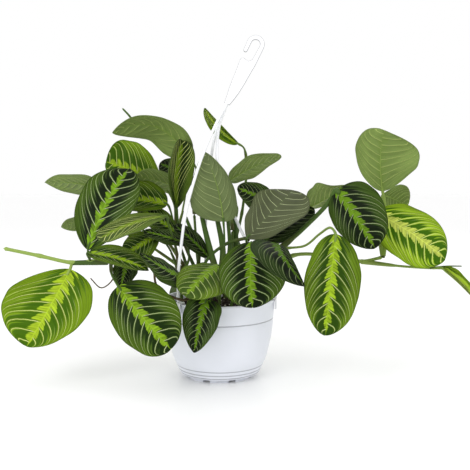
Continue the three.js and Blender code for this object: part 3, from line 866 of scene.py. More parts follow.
def build_soil(settings, pot):
    """Fills the pot with soil, and strews bark crumbs and pale grains over it."""
    group = crumbly_earth()
    bed = soil_bed(settings, pot)
    tidy_normals(bed)
    smooth(bed, 60)
    finish_piece(bed, [earth_material("Earth", group, settings.earth, settings.bark)], "soil", "soil")
    crumbs = scatter(
        "soil_crumbs", settings, crumb_shapes([(1, 1, 1), (1.6, 0.7, 0.5), (2.2, 0.5, 0.35)]),
        settings.crumbs, (0.0015, 0.0042), 5,
    )
    smooth(crumbs, 30)
    finish_piece(crumbs, [earth_material("Bark crumbs", group, settings.bark, settings.earth)], "soil")
    grains = scatter(
        "soil_grains", settings, crumb_shapes([(1, 1, 1), (1.2, 0.9, 0.8)]),
        settings.grains, (0.0012, 0.0028), 11,
    )
    smooth(grains, 50)
    shadow = tuple(0.8 * c for c in settings.grain)
    finish_piece(grains, [earth_material("Pale grains", group, settings.grain, shadow)], "soil")


# Leaves

VEINS = 8
VEIN_SWEEP = (0.17, 0.3, 0.18)
VEIN_RUN = (1.4, 0.3)
RIB_RADIUS = 0.0009
LEAF_VALUES = ("lime", "patch", "bone", "grey", "stripe", "seed")


@dataclass(frozen=True)
class Look:
    """How a leaf is coloured.

    lime runs from the darkest leaves, below 0, through lime green at 1 to gold; below 0 it darkens the
    whole blade, partly for the leaf's own dark tone and partly as painted shade deep inside the plant.
    patch is the strength of the dark patches, bone how pale and wide the herringbone is, grey how much
    painted sheen greys the leaf, and stripe how broad and slanting its side veins are.
    """

    lime: float
    patch: float
    bone: float
    grey: float = 0.0
    stripe: float = 0.0


@dataclass(frozen=True)
class Leaf:
    """A leaf: its look, its joint on the stem, its stalk's points, and its blade in metres.

    face is the way its upper side looks, half its width on either hand, arch and bow curve the
    midrib, fold lifts the halves in degrees, cup rolls them in radians, wave ripples the edges,
    full shapes the outline towards base and tip, and skew moves the two halves' widest places apart.
    stalk is the stalk's radius where it isn't the usual one.
    """

    look: str
    base: tuple
    tip: tuple
    face: tuple
    half: tuple
    arch: float
    joint: int = 0
    via: tuple = ()
    bow: float = 0.0
    wave: float = 0.001
    fold: tuple = (0, 0)
    cup: float = 0.01
    full: tuple = (0.5, 0.5)
    skew: float = 0.0
    stalk: float = 0.0


@dataclass(frozen=True)
class Twig:
    """A bare stalk or tendril along its points."""

    radius: float
    through: tuple
    dry: bool = False


@dataclass(frozen=True)
class Shoot:
    """A leafy stem: where it leaves the soil, its joints, its leaves and bare twigs, and how pale it is."""

    root: tuple
    stem: tuple
    leaves: tuple
    twigs: tuple = ()
    pale: float = 0.0


LOOKS = {
    "golden": Look(lime=1.2, patch=1.0, bone=1.3),
    "lime": Look(lime=0.9, patch=0.85, bone=1.0),
    "fresh": Look(lime=0.7, patch=0.9, bone=0.8),
    "bright": Look(lime=0.4, patch=0.95, bone=0.75),
    "leafy": Look(lime=0.25, patch=0.95, bone=0.65),
    "middling": Look(lime=0.1, patch=1.0, bone=0.45),
    "bold": Look(lime=0.0, patch=1.0, bone=0.3),
    # dark and deep set lime below 0: a darker tone, partly painted shade for leaves inside the plant.
    "dark": Look(lime=-0.15, patch=1.0, bone=0.25),
    "striped": Look(lime=0.2, patch=1.0, bone=0.6, grey=0.15, stripe=1.5),
    "deep": Look(lime=-0.4, patch=1.0, bone=0.15),
    "olive": Look(lime=0.5, patch=0.6, bone=0.7, grey=0.4, stripe=1.0),
    "fine": Look(lime=0.4, patch=0.65, bone=0.4, grey=0.15),
    "grey": Look(lime=0.0, patch=0.4, bone=0.0, grey=1.0),
    "shaded": Look(lime=0.35, patch=0.3, bone=0.0, grey=0.45),
    "dull": Look(lime=0.9, patch=0.4, bone=0.2),
    "pale": Look(lime=1.0, patch=0.5, bone=0.3),
    "rolled": Look(lime=1.15, patch=1.0, bone=0.6, stripe=1.6),
    "young": Look(lime=0.75, patch=1.0, bone=1.0, stripe=2.2),
}
SHOOTS = {
    "shoot_left_runner": Shoot(
        root=(-0.036, -0.02),
        stem=(
            (-0.048, -0.032, 0.122), (-0.08, -0.042, 0.142), (-0.128, -0.045, 0.148),
            (-0.152, -0.045, 0.148), (-0.174, -0.046, 0.147), (-0.212, -0.046, 0.155),
            (-0.255, -0.046, 0.164),
        ),
        leaves=(
            Leaf("lime", joint=4, base=(-0.175, -0.052, 0.14), tip=(-0.22, -0.08, 0.054),
                 face=(0.05, -1, 0.3), half=(0.044, 0.052), arch=0.005, bow=-0.002, wave=0.002,
                 fold=(4, 1), full=(0.6, 0.6), skew=-0.15),
            Leaf("middling", joint=2, via=((-0.124, -0.066, 0.136),),
                 base=(-0.114, -0.08, 0.124), tip=(-0.052, -0.11, 0.058), face=(0.1, -1, 0.35),
                 half=(0.04, 0.032), arch=0.008, bow=0.002, wave=0.002, cup=-0.2, full=(0.42, 0.41)),
            Leaf("bold", joint=3, base=(-0.155, -0.046, 0.162), tip=(-0.113, 0.005, 0.258),
                 face=(-0.25, -0.85, 0.4), half=(0.037, 0.036), arch=0.012, bow=0.001, wave=0.002,
                 fold=(8, -6), full=(0.68, 0.58)),
            Leaf("leafy", joint=3, base=(-0.153, -0.06, 0.16), tip=(-0.079, -0.082, 0.142),
                 face=(0.1, -0.75, 0.6), half=(0.019, 0.012), arch=0.007, fold=(0, 20), cup=-0.2,
                 full=(0.68, 0.8)),
            Leaf("dark", joint=2, base=(-0.108, -0.052, 0.148), tip=(-0.115, -0.06, 0.117),
                 face=(0, -1, 0.2), half=(0.015, 0.014), arch=0.002, full=(0.3, 0.9)),
        ),
        twigs=(
            Twig(0.0008, ((-0.128, -0.046, 0.148), (-0.124, -0.052, 0.13),
                 (-0.138, -0.054, 0.118), (-0.152, -0.052, 0.13)), dry=True),
            Twig(0.0033, ((-0.13, -0.045, 0.1475), (-0.152, -0.045, 0.147),
                 (-0.176, -0.046, 0.1465))),
        ),
        pale=1.0,
    ),
    "shoot_left_low": Shoot(
        root=(-0.048, 0.004),
        stem=((-0.05, 0.002, 0.124),),
        leaves=(
            Leaf("olive", via=((-0.054, -0.008, 0.16), (-0.06, -0.04, 0.192)),
                 base=(-0.061, -0.059, 0.203), tip=(-0.132, -0.099, 0.179), face=(0, -0.55, 0.83),
                 half=(0.022, 0.013), arch=0.003, bow=0.004, fold=(10, 18), full=(0.6, 0.32)),
            Leaf("leafy", via=((-0.062, -0.002, 0.158),), base=(-0.077, -0.008, 0.177),
                 tip=(-0.118, -0.012, 0.152), face=(-0.2, -0.8, 0.5), half=(0.023, 0.018), arch=0.005,
                 bow=-0.003, fold=(4, 15), full=(0.62, 0.44)),
            Leaf("dark", via=((-0.038, -0.01, 0.148),), base=(-0.04, -0.014, 0.166),
                 tip=(-0.092, -0.02, 0.182), face=(0, -0.6, 0.8), half=(0.012, 0.012), arch=0.002),
        ),
    ),
    "shoot_left_high": Shoot(
        root=(-0.034, 0.024),
        stem=((-0.04, 0.024, 0.125), (-0.056, 0.022, 0.175)),
        leaves=(
            Leaf("bright", joint=1, base=(-0.066, 0.012, 0.214), tip=(-0.137, 0.024, 0.221),
                 face=(0.1, -0.8, 0.6), half=(0.02, 0.027), arch=0.004, fold=(8, 8)),
            Leaf("fresh", joint=1, via=((-0.06, 0.034, 0.215),), base=(-0.077, 0.038, 0.241),
                 tip=(-0.146, 0.032, 0.267), face=(-0.1, -0.9, 0.5), half=(0.023, 0.038), arch=-0.002,
                 bow=0.003, wave=0.002, fold=(25, 13), cup=-0.2, full=(0.8, 0.36)),
            Leaf("dull", joint=1, via=((-0.048, 0.026, 0.205),), base=(-0.045, 0.023, 0.231),
                 tip=(-0.106, 0.022, 0.249), face=(0, 0.6, 0.8), half=(0.022, 0.022), arch=0.003),
            Leaf("dull", via=((-0.08, 0.036, 0.18), (-0.125, 0.03, 0.225)),
                 base=(-0.151, 0.018, 0.235), tip=(-0.221, 0.018, 0.241), face=(0, 0.4, 0.9),
                 half=(0.024, 0.03), arch=0.002, bow=-0.002, fold=(6, -10), full=(0.4, 0.8)),
            Leaf("dull", via=((-0.09, 0.026, 0.16), (-0.135, 0.024, 0.188)),
                 base=(-0.159, 0.02, 0.196), tip=(-0.202, 0.022, 0.184), face=(0, 0.5, 0.85),
                 half=(0.015, 0.021), arch=0.002, fold=(-3, -7), full=(0.38, 0.61)),
            Leaf("middling", via=((-0.048, 0.016, 0.152),), base=(-0.055, 0.008, 0.179),
                 tip=(-0.102, 0.006, 0.209), face=(0.1, -0.8, 0.6), half=(0.015, 0.016), arch=0.003),
        ),
    ),
    "shoot_top_left": Shoot(
        root=(-0.016, 0.042),
        stem=((-0.028, 0.04, 0.13), (-0.034, 0.042, 0.2)),
        leaves=(
            Leaf("dull", joint=1, via=((-0.03, 0.034, 0.256),), base=(-0.041, 0.018, 0.276),
                 tip=(-0.13, -0.01, 0.302), face=(0, 0.45, 0.9), half=(0.027, 0.03), arch=0.022,
                 bow=-0.006, wave=0.0015, fold=(5, -7), cup=-0.2, full=(0.26, 0.54)),
            Leaf("deep", joint=1, via=((-0.036, 0.05, 0.23),), base=(-0.042, 0.056, 0.249),
                 tip=(-0.08, 0.058, 0.265), face=(0, -0.8, 0.5), half=(0.017, 0.017), arch=0.002),
        ),
        twigs=(
            Twig(0.0013, ((-0.104, -0.002, 0.312), (-0.109, -0.004, 0.321),
                 (-0.119, -0.003, 0.332))),
        ),
    ),
    "shoot_upright": Shoot(
        root=(-0.02, 0.008),
        stem=((-0.03, 0.008, 0.13),),
        leaves=(
            Leaf("striped", via=((-0.0495, 0.012, 0.176),), base=(-0.054, 0.008, 0.209),
                 tip=(-0.046, 0.008, 0.293), face=(0.5, -0.8, 0.2), half=(0.03, 0.026), arch=0.002,
                 bow=-0.006, fold=(34, 48), cup=0.4, full=(0.73, 0.44)),
        ),
        twigs=(
            Twig(0.0024, ((-0.03, 0.008, 0.124), (-0.026, -0.0085, 0.156),
                 (-0.042, -0.009, 0.2))),
        ),
    ),
    "shoot_centre": Shoot(
        root=(0, -0.014),
        stem=((0, -0.014, 0.13),),
        leaves=(
            Leaf("shaded", via=((0.006, -0.02, 0.165),), base=(0.005, -0.022, 0.194),
                 tip=(-0.019, -0.004, 0.279), face=(-0.1, 0.95, 0.35), half=(0.021, 0.038),
                 arch=0.005, bow=-0.004, wave=0.0015, fold=(12, -25), cup=0.2, full=(0.36, 0.78)),
            Leaf("deep", base=(-0.014, -0.01, 0.15), tip=(-0.054, -0.026, 0.19),
                 face=(0.5, -0.8, 0.3), half=(0.011, 0.012), arch=0.003),
        ),
        twigs=(
            Twig(0.004, ((-0.001, -0.014, 0.122), (-0.012, -0.011, 0.16),
                 (-0.022, -0.011, 0.201))),
            Twig(0.004, ((0, -0.013, 0.12), (0.004, -0.011, 0.157),
                 (-0.004, -0.011, 0.202))),
            Twig(0.0026, ((0.002, -0.014, 0.12), (0.012, -0.011, 0.157),
                 (0.01, -0.01, 0.2))),
            Twig(0.002, ((0.034, -0.016, 0.174), (0.008, -0.013, 0.166),
                 (-0.018, -0.013, 0.142), (-0.022, -0.016, 0.104))),
        ),
    ),
    "shoot_back": Shoot(
        root=(0.012, 0.024),
        stem=((0.014, 0.026, 0.13), (0.016, 0.028, 0.18)),
        leaves=(
            Leaf("dull", joint=1, via=((0.012, 0.028, 0.22),), base=(0.012, 0.022, 0.244),
                 tip=(0.078, 0.03, 0.274), face=(-0.2, 0.6, 0.8), half=(0.025, 0.024), arch=0.002,
                 bow=0.002, wave=0.0015, fold=(7, -2), full=(0.4, 0.64)),
            Leaf("dark", via=((0.046, 0.036, 0.18), (0.068, 0.03, 0.204)),
                 base=(0.071, 0.02, 0.214), tip=(0.022, 0.012, 0.234), face=(0, -0.75, 0.6),
                 half=(0.024, 0.018), arch=-0.002, bow=0.002, fold=(5, 7), full=(0.53, 0.57)),
        ),
        twigs=(
            Twig(0.004, ((0.014, 0.026, 0.126), (0.02, 0.032, 0.156),
                 (0.017, 0.032, 0.206))),
        ),
    ),
    "shoot_young": Shoot(
        root=(0.006, 0.05),
        stem=((0.014, 0.054, 0.14), (0.028, 0.058, 0.2), (0.035, 0.06, 0.258)),
        leaves=(
            Leaf("young", joint=2, via=((0.031, 0.042, 0.284),), base=(0.023, 0.026, 0.29),
                 tip=(-0.019, 0.02, 0.334), face=(-0.3, -0.8, 0.4), half=(0.012, 0.006), arch=0,
                 bow=-0.004, fold=(20, 39), cup=0.3, full=(0.56, 0.6)),
        ),
    ),
    "shoot_right_high": Shoot(
        root=(0.03, 0.004),
        stem=((0.034, 0, 0.128),),
        leaves=(
            Leaf("grey", via=((0.036, -0.028, 0.158),), base=(0.033, -0.045, 0.176),
                 tip=(0.089, -0.02, 0.232), face=(-0.3, -0.6, 0.75), half=(0.044, 0.038), arch=0.004,
                 bow=0.004, wave=0.002, cup=-0.2, full=(0.66, 0.3)),
            Leaf("deep", via=((0.048, 0.002, 0.148),), base=(0.052, -0.014, 0.168),
                 tip=(0.116, 0, 0.21), face=(0, -0.5, 0.85), half=(0.023, 0.023), arch=0.003,
                 cup=-0.2),
            Leaf("dull", via=((0.084, 0.01, 0.18),), base=(0.108, 0.002, 0.209),
                 tip=(0.157, 0.004, 0.237), face=(0, 0.5, 0.85), half=(0.018, 0.028), arch=0.001,
                 bow=-0.005, wave=0.002, fold=(10, 22), full=(0.3, 0.8)),
        ),
    ),
    "shoot_right": Shoot(
        root=(0.042, -0.02),
        stem=((0.048, -0.022, 0.126),),
        leaves=(
            Leaf("dark",
                 via=((0.064, -0.026, 0.152), (0.097, -0.028, 0.182), (0.13, -0.03, 0.216)),
                 base=(0.14, -0.035, 0.232), tip=(0.181, -0.065, 0.166), face=(0.1, -0.95, 0.3),
                 half=(0.037, 0.027), arch=0.007, bow=0.001, wave=0.0015, fold=(32, -24), cup=-0.2,
                 full=(0.42, 0.56), stalk=0.0028),
            Leaf("bright",
                 via=((0.073, -0.034, 0.16), (0.102, -0.044, 0.167), (0.118, -0.056, 0.182),
                      (0.129, -0.068, 0.19)),
                 base=(0.134, -0.074, 0.183), tip=(0.12, -0.102, 0.072), face=(0, -1, 0.25),
                 half=(0.034, 0.029), arch=0.006, bow=0.001, wave=0.0015, fold=(6, 7), cup=-0.1,
                 full=(0.53, 0.56)),
        ),
        pale=0.55,
    ),
    "shoot_far_right": Shoot(
        root=(0.05, 0.014),
        stem=(
            (0.062, 0.008, 0.13), (0.092, 0.004, 0.15), (0.135, 0.002, 0.15),
            (0.174, 0, 0.143), (0.204, 0.002, 0.148),
        ),
        leaves=(
            Leaf("golden", joint=4, via=((0.198, 0.008, 0.182),), base=(0.191, -0.01, 0.204),
                 tip=(0.273, -0.028, 0.149), face=(0.05, -0.9, 0.45), half=(0.037, 0.037), arch=0.008,
                 wave=0.002, cup=-0.2, full=(0.54, 0.51)),
            Leaf("pale", joint=4, via=((0.21, 0.016, 0.195),), base=(0.205, 0.016, 0.23),
                 tip=(0.198, -0.022, 0.304), face=(0.05, 0.85, 0.5), half=(0.048, 0.031), arch=0.006,
                 bow=0.003, wave=0.002, fold=(-28, 11), cup=0.1, full=(0.61, 0.34)),
            Leaf("pale", joint=4, via=((0.214, 0.026, 0.19),), base=(0.208, 0.032, 0.225),
                 tip=(0.242, 0.04, 0.21), face=(-0.3, 0.8, 0.5), half=(0.019, 0.022), arch=0.005,
                 fold=(2, 4), full=(0.9, 0.6)),
            Leaf("rolled", joint=3, via=((0.228, -0.002, 0.137), (0.262, -0.012, 0.136)),
                 base=(0.272, -0.02, 0.137), tip=(0.315, -0.028, 0.093), face=(0.3, -0.4, 0.9),
                 half=(0.011, 0.009), arch=0.002, fold=(50, 45), cup=0.8, full=(0.4, 0.6)),
        ),
        twigs=(
            Twig(0.0009, ((0.258, -0.011, 0.1354), (0.268, -0.0155, 0.138),
                 (0.279, -0.016, 0.139), (0.298, -0.016, 0.139))),
        ),
        pale=0.8,
    ),
    "shoot_front": Shoot(
        root=(-0.01, -0.038),
        stem=((-0.008, -0.042, 0.116),),
        leaves=(
            Leaf("fine", via=((-0.002, -0.046, 0.134),), base=(0.002, -0.054, 0.145),
                 tip=(-0.036, -0.102, 0.116), face=(-0.3, -0.9, 0.55), half=(0.033, 0.031),
                 arch=0.006, wave=0.0015, cup=-0.3),
            Leaf("dark", via=((-0.01, -0.064, 0.12),), base=(-0.014, -0.078, 0.108),
                 tip=(-0.027, -0.092, 0.05), face=(-0.2, -1, 0.2), half=(0.024, 0.022), arch=0.004,
                 fold=(17, 7), full=(0.28, 0.72)),
        ),
    ),
    "shoot_rear_low": Shoot(
        root=(-0.004, 0.034),
        stem=((-0.004, 0.046, 0.118),),
        leaves=(
            Leaf("middling", via=((-0.022, 0.072, 0.132),), base=(-0.034, 0.086, 0.126),
                 tip=(-0.046, 0.112, 0.046), face=(-0.25, 1, 0.3), half=(0.032, 0.031), arch=0.006,
                 wave=0.002, cup=-0.2),
            Leaf("bright", via=((0.014, 0.076, 0.134),), base=(0.024, 0.092, 0.128),
                 tip=(0.042, 0.118, 0.05), face=(0.2, 1, 0.3), half=(0.031, 0.032), arch=0.006,
                 wave=0.002, cup=-0.2),
        ),
    ),
    "shoot_rear_high": Shoot(
        root=(0.028, 0.038),
        stem=((0.034, 0.048, 0.13),),
        leaves=(
            Leaf("fresh", via=((0.054, 0.074, 0.168),), base=(0.062, 0.088, 0.172),
                 tip=(0.096, 0.15, 0.176), face=(0.1, 0.3, 1), half=(0.03, 0.03), arch=0.012,
                 wave=0.002, cup=-0.2),
            Leaf("middling", via=((0.02, 0.072, 0.172),), base=(0.01, 0.084, 0.188),
                 tip=(-0.018, 0.136, 0.232), face=(0, 0.4, 0.9), half=(0.027, 0.028), arch=0.01,
                 wave=0.0015, cup=-0.2),
        ),
    ),
    "shoot_rear_left": Shoot(
        root=(-0.042, 0.036),
        stem=((-0.06, 0.048, 0.122), (-0.1, 0.06, 0.148)),
        leaves=(
            Leaf("lime", joint=1, base=(-0.114, 0.066, 0.168), tip=(-0.17, 0.11, 0.176),
                 face=(-0.2, 0.3, 1), half=(0.031, 0.031), arch=0.012, wave=0.002, cup=-0.2),
            Leaf("middling", joint=1, via=((-0.104, 0.072, 0.176),), base=(-0.104, 0.084, 0.2),
                 tip=(-0.136, 0.132, 0.216), face=(-0.3, 0.6, 0.7), half=(0.027, 0.027), arch=0.008,
                 wave=0.0015, cup=-0.2),
        ),
    ),
    "shoot_front_left": Shoot(
        root=(-0.026, -0.04),
        stem=((-0.032, -0.048, 0.112),),
        leaves=(
            Leaf("dark", via=((-0.036, -0.054, 0.124),), base=(-0.044, -0.06, 0.132),
                 tip=(-0.089, -0.08, 0.162), face=(0, -0.35, 0.95), half=(0.024, 0.021), arch=0,
                 bow=-0.003, fold=(-12, 7), cup=-0.2, full=(0.33, 0.8)),
        ),
        twigs=(
            Twig(0.0015, ((-0.032, -0.048, 0.108), (-0.042, -0.062, 0.105),
                 (-0.07, -0.074, 0.122), (-0.074, -0.076, 0.148)), dry=True),
        ),
    ),
    "shoot_front_right": Shoot(
        root=(0.014, -0.042),
        stem=((0.022, -0.044, 0.12),),
        leaves=(
            Leaf("bold", via=((0.034, -0.048, 0.16),), base=(0.038, -0.066, 0.173),
                 tip=(0.038, -0.112, 0.105), face=(0, -0.9, 0.5), half=(0.04, 0.036), arch=0.005,
                 bow=0.002, wave=0.0015, fold=(6, 5), cup=-0.3, full=(0.56, 0.53)),
            Leaf("deep", via=((0.05, -0.048, 0.148), (0.064, -0.068, 0.168)),
                 base=(0.067, -0.09, 0.173), tip=(0.094, -0.132, 0.132), face=(0.1, -0.8, 0.7),
                 half=(0.01, 0.033), arch=0.016, bow=0.01, fold=(-4, 19), cup=-0.3, full=(0.35, 0.8)),
        ),
    ),
}


def half_width(leaf, share, hand):
    """Half the width of a blade at a share of its length on one hand, 1 at its widest."""
    lean = leaf.skew if hand == 0 else -leaf.skew
    base, tip = leaf.full[0] + lean, leaf.full[1] - lean

    def width(place):
        return place**base * (1 - place) ** tip

    return width(share) / width(base / (base + tip))


def midrib(leaf, share):
    """The midrib at a share of its length: its place, and the way across and up from it."""
    base, tip = Vector(leaf.base), Vector(leaf.tip)
    chord = tip - base
    along = chord.normalized()
    up = Vector(leaf.face)
    up = (up - up.dot(along) * along).normalized()
    right = along.cross(up)
    climb, slope = 4 * share * (1 - share), 4 * (1 - 2 * share)
    middle = base + chord * share + up * leaf.arch * climb + right * leaf.bow * climb
    ahead = (chord + up * leaf.arch * slope + right * leaf.bow * slope).normalized()
    side = ahead.cross(up).normalized()
    return middle, side, side.cross(ahead)


def vein_order(share, out, hand):
    """Counts the side veins, as blade_marks does but for its noises: a whole number lies on a vein."""
    widest, narrowest = VEIN_RUN
    side = out * (narrowest * (1 - share) + widest * math.sqrt(max(0.0, share * (1 - share))))
    sweep = VEIN_SWEEP[0] * side + VEIN_SWEEP[1] * side**2 + VEIN_SWEEP[2] * out**6
    return (share - sweep) * VEINS + 0.5 * hand


def blade_point(settings, leaf, across, share, rib):
    """A point of a blade's middle surface, with its folds, ripples and pleats: across runs from -1 to 1."""
    middle, side, over = rib
    hand = 0 if across < 0 else 1
    out = abs(across)
    start = math.radians(leaf.fold[hand])
    uneven = noise.noise(Vector((5 * share, 3 * hand, 40 * leaf.base[0])))
    reach = leaf.half[hand] * half_width(leaf, share, hand) * (1 + 0.05 * uneven)
    flat = (math.sin(start + leaf.cup * out) - math.sin(start)) / leaf.cup
    lift = (math.cos(start) - math.cos(start + leaf.cup * out)) / leaf.cup
    phase = 2 * math.pi * (1.6 * share + 0.5 * hand)
    ripple = leaf.wave * out * out * math.sin(phase) * min(1, 4 * share)
    ends = min(1, 8 * share, 8 * (1 - share))
    calm = min(1, 5 * out) * (1 - out**4) * ends
    pleat = -settings.relief * math.cos(2 * math.pi * vein_order(share, out, hand)) * calm
    crease = -0.5 * settings.relief * math.exp(-((out / 0.05) ** 2)) * ends
    height = reach * lift + ripple + pleat + crease
    return middle + side * math.copysign(reach * flat, across) + over * height


def blade(settings, leaf, seed):
    """A leaf's blade: a bent sheet with its marks painted on, and a skin for each side."""
    ribs = {}

    def place(u, v):
        share = (1 - math.cos(math.pi * v)) / 2
        row = round(v * settings.rows)
        if row not in ribs:
            ribs[row] = midrib(leaf, share)
        if row in (0, settings.rows):
            return ribs[row][0]
        return blade_point(settings, leaf, 2 * u - 1, share, ribs[row])

    piece = bent_grid("blade", settings.columns, settings.rows, place)
    paint(piece, **asdict(LOOKS[leaf.look]), seed=seed)
    for name in ("Leaf upper side", "Leaf underside"):
        piece.data.materials.append(bpy.data.materials[name])
    apply_modifier(
        piece, "SOLIDIFY", thickness=settings.thickness, offset=0, material_offset=1, material_offset_rim=1
    )
    return piece


def stalk(settings, leaf, start, pale):
    """A leaf stalk: a sheathing lower part, a thin middle and a swollen joint at the blade."""
    short, long = 0.035, 0.05
    points = [start, *leaf.via, leaf.base, tuple(midrib(leaf, 0.09)[0])]
    span = sum((Vector(b) - Vector(a)).length for a, b in zip(points, points[1:]))
    radius = (leaf.stalk or settings.stalk_radius) * (1 + 0.35 * pale)

    def thickness(along):
        if span < short:
            return radius * 1.1
        sheath = max(0.0, 1 - along / 0.42) ** 0.5
        joint = math.exp(-(((1 - along) * span - 0.009) / 0.005) ** 2)
        return radius * (1 + 1.1 * sheath + 0.3 * joint)

    piece = tube("stalk", points, thickness, sides=10, step=0.0025)
    rust = 0.8 - 0.7 * pale if span > long else 0.1
    return paint(piece, lime=max(0.0, LOOKS[leaf.look].lime - 0.35, pale), rust=rust)


def underside_rib(leaf):
    """The raised midrib under a blade, thinning towards the tip."""
    count = 8
    points = []
    for step in range(count + 1):
        share = 0.01 + 0.87 * step / count
        middle, _side, over = midrib(leaf, share)
        points.append(middle - over * RIB_RADIUS * (1 - share))

    piece = tube("rib", points, lambda along: RIB_RADIUS * (1 - 0.75 * along), sides=8, step=0.004)
    return paint(piece, lime=0.35 + 0.5 * LOOKS[leaf.look].lime, rust=0.0)


def sheath(settings, leaf, start, turn):
    """The papery sheath that wraps the foot of a leaf stalk, open along one side."""
    steps = 40
    reach = 0.032
    points = curve_points([start, *leaf.via, leaf.base], steps)
    span = sum((b - a).length for a, b in zip(points, points[1:]))
    count = max(6, min(26, round(steps * reach / span)))
    wrapped = points[: count + 1]
    radius = leaf.stalk or settings.stalk_radius
    ahead = (wrapped[-1] - wrapped[0]).normalized()
    right = ahead.orthogonal().normalized()
    right.rotate(Matrix.Rotation(turn, 3, ahead))
    over = ahead.cross(right)

    def place(u, v):
        middle = wrapped[min(count, round(v * count))]
        opening = 0.85 * math.pi * (1 - 0.8 * v**2)
        angle = (2 * u - 1) * opening
        flare = 1.85 - 0.6 * v + 0.1 * math.sin(3 * angle + 9 * v)
        return middle + radius * flare * (math.cos(angle) * right + math.sin(angle) * over)

    piece = bent_grid("sheath", 12, count, place)
    paint(piece, lime=0.1, rust=0.6)
    apply_modifier(piece, "SOLIDIFY", thickness=0.0004, offset=0)
    return piece


def stem(settings, shoot):
    """The main stem, with a swelling at each joint."""
    x, y = shoot.root
    foot, collar = 0.067, 0.092
    points = [(x, y, foot), (x, y, collar), *shoot.stem]
    spans = [(Vector(b) - Vector(a)).length for a, b in zip(points, points[1:])]
    joints = [sum(spans[:count]) / sum(spans) for count in range(2, len(spans) + 1)]
    radius = settings.stem_radius * (1 + 0.25 * shoot.pale)

    def thickness(along):
        swell = sum(math.exp(-(((along - joint) * sum(spans) / 0.004) ** 2)) for joint in joints)
        return radius * (1 + 0.3 * min(1, swell)) * (1 - 0.25 * along)

    return paint(tube("stem", points, thickness, sides=14), lime=max(0.15, shoot.pale), rust=0.75)


def twig(part):
    """A bare stalk: a thick one thins towards its top like a sheathed leaf stalk."""
    thinning = 0.4 if part.radius > 0.0035 else 0.25

    def thickness(along):
        return part.radius * (1.08 - thinning * along**1.5)

    piece = tube("twig", part.through, thickness, sides=12, step=0.002)
    return paint(piece, lime=0.0, rust=1.6 if part.dry else 0.4)


def blade_marks(tree, own, chart):
    """The places, marks and noises of a blade, as fields of its own map.

    Marks run from 0 to 1 and noises lie around 0. off is 0 halfway between two side veins and 1 on one.
    """
    u, v, _w = axes(tree, chart)
    across = u * 2 - 1
    share = 0.5 - (v * math.pi).maths("COSINE") * 0.5
    out = abs(across)
    hand = across.maths("GREATER_THAN", 0)
    widest, narrowest = VEIN_RUN
    width = (share * (1 - share)).maths("MAXIMUM", 0).maths("SQRT") * widest
    side = out * (width + narrowest - share * narrowest)

    shift = own.seed * 13.7
    wander = speckle(tree, stretch(tree, chart, (5, 4, 1), shift), 1, 2) - 0.5
    ragged = speckle(tree, stretch(tree, chart, (26, 20, 1), shift), 1, 3) - 0.5
    cloud = speckle(tree, stretch(tree, chart, (3, 3, 1), shift), 1, 2) - 0.5

    sweep = side * (own.stripe * 0.35 + VEIN_SWEEP[0]) + side * side * VEIN_SWEEP[1]
    sweep = sweep + out.maths("POWER", 6) * VEIN_SWEEP[2]
    order = (share - sweep) * VEINS + hand * 0.5 + wander * 0.22 + side * cloud * 0.2
    phase = order.maths("FRACT")
    off = abs(phase - 0.5) * 2
    streak = speckle(tree, combine(tree, order * 5, side * 1.6, shift), 1, 3) - 0.5
    hairline = (order * 2 * math.pi * 9).maths("SINE")

    fade = (1 - rise(out, 0.88, 1.0)) * rise(order, 0.1, 0.5)
    minor = (1 - rise(off, 0.02, 0.08)) * rise(side, 0.3, 0.5) * (1 - rise(out, 0.5, 0.9))

    lobe = rise(phase, 0.0, 0.35) * 0.6 + rise(phase, 0.35, 0.76) * 0.4
    lobe = lobe * (1 - rise(phase, 0.82, 0.97))
    points = (order * 2 * math.pi * 5).maths("SINE")
    edge = (0.065 + lobe * (0.175 + points * 0.02) + streak * 0.16) * (1.1 - share * 0.7)
    edge = edge * (1 - rise(share, 0.86, 0.99))
    edge = edge * (0.82 + own.bone.maths("MINIMUM", 1) * 0.34)
    depth = (side - edge) / 0.46
    limit = 0.98 - depth * 0.4 + ragged * 0.35
    patch = 1 - rise(off, limit - 0.12, limit + 0.02)
    patch = patch * (1 - rise(depth + cloud * 0.9 + hairline * 0.1 + streak * 1.6, 0.52, 0.92))
    return SimpleNamespace(
        out=out, off=off, cloud=cloud, streak=streak, hairline=hairline, minor=minor, patch=patch,
        vein=rise(off, 0.938 - own.stripe * 0.09, 0.978) * fade,
        halo=rise(off, 0.8, 0.95) * fade * 0.12,
        midline=1 - rise(out, 0.008, 0.03),
        bone=(1 - rise(side, edge - 0.02, edge + 0.015)) * rise(own.bone, 0, 0.15),
    )


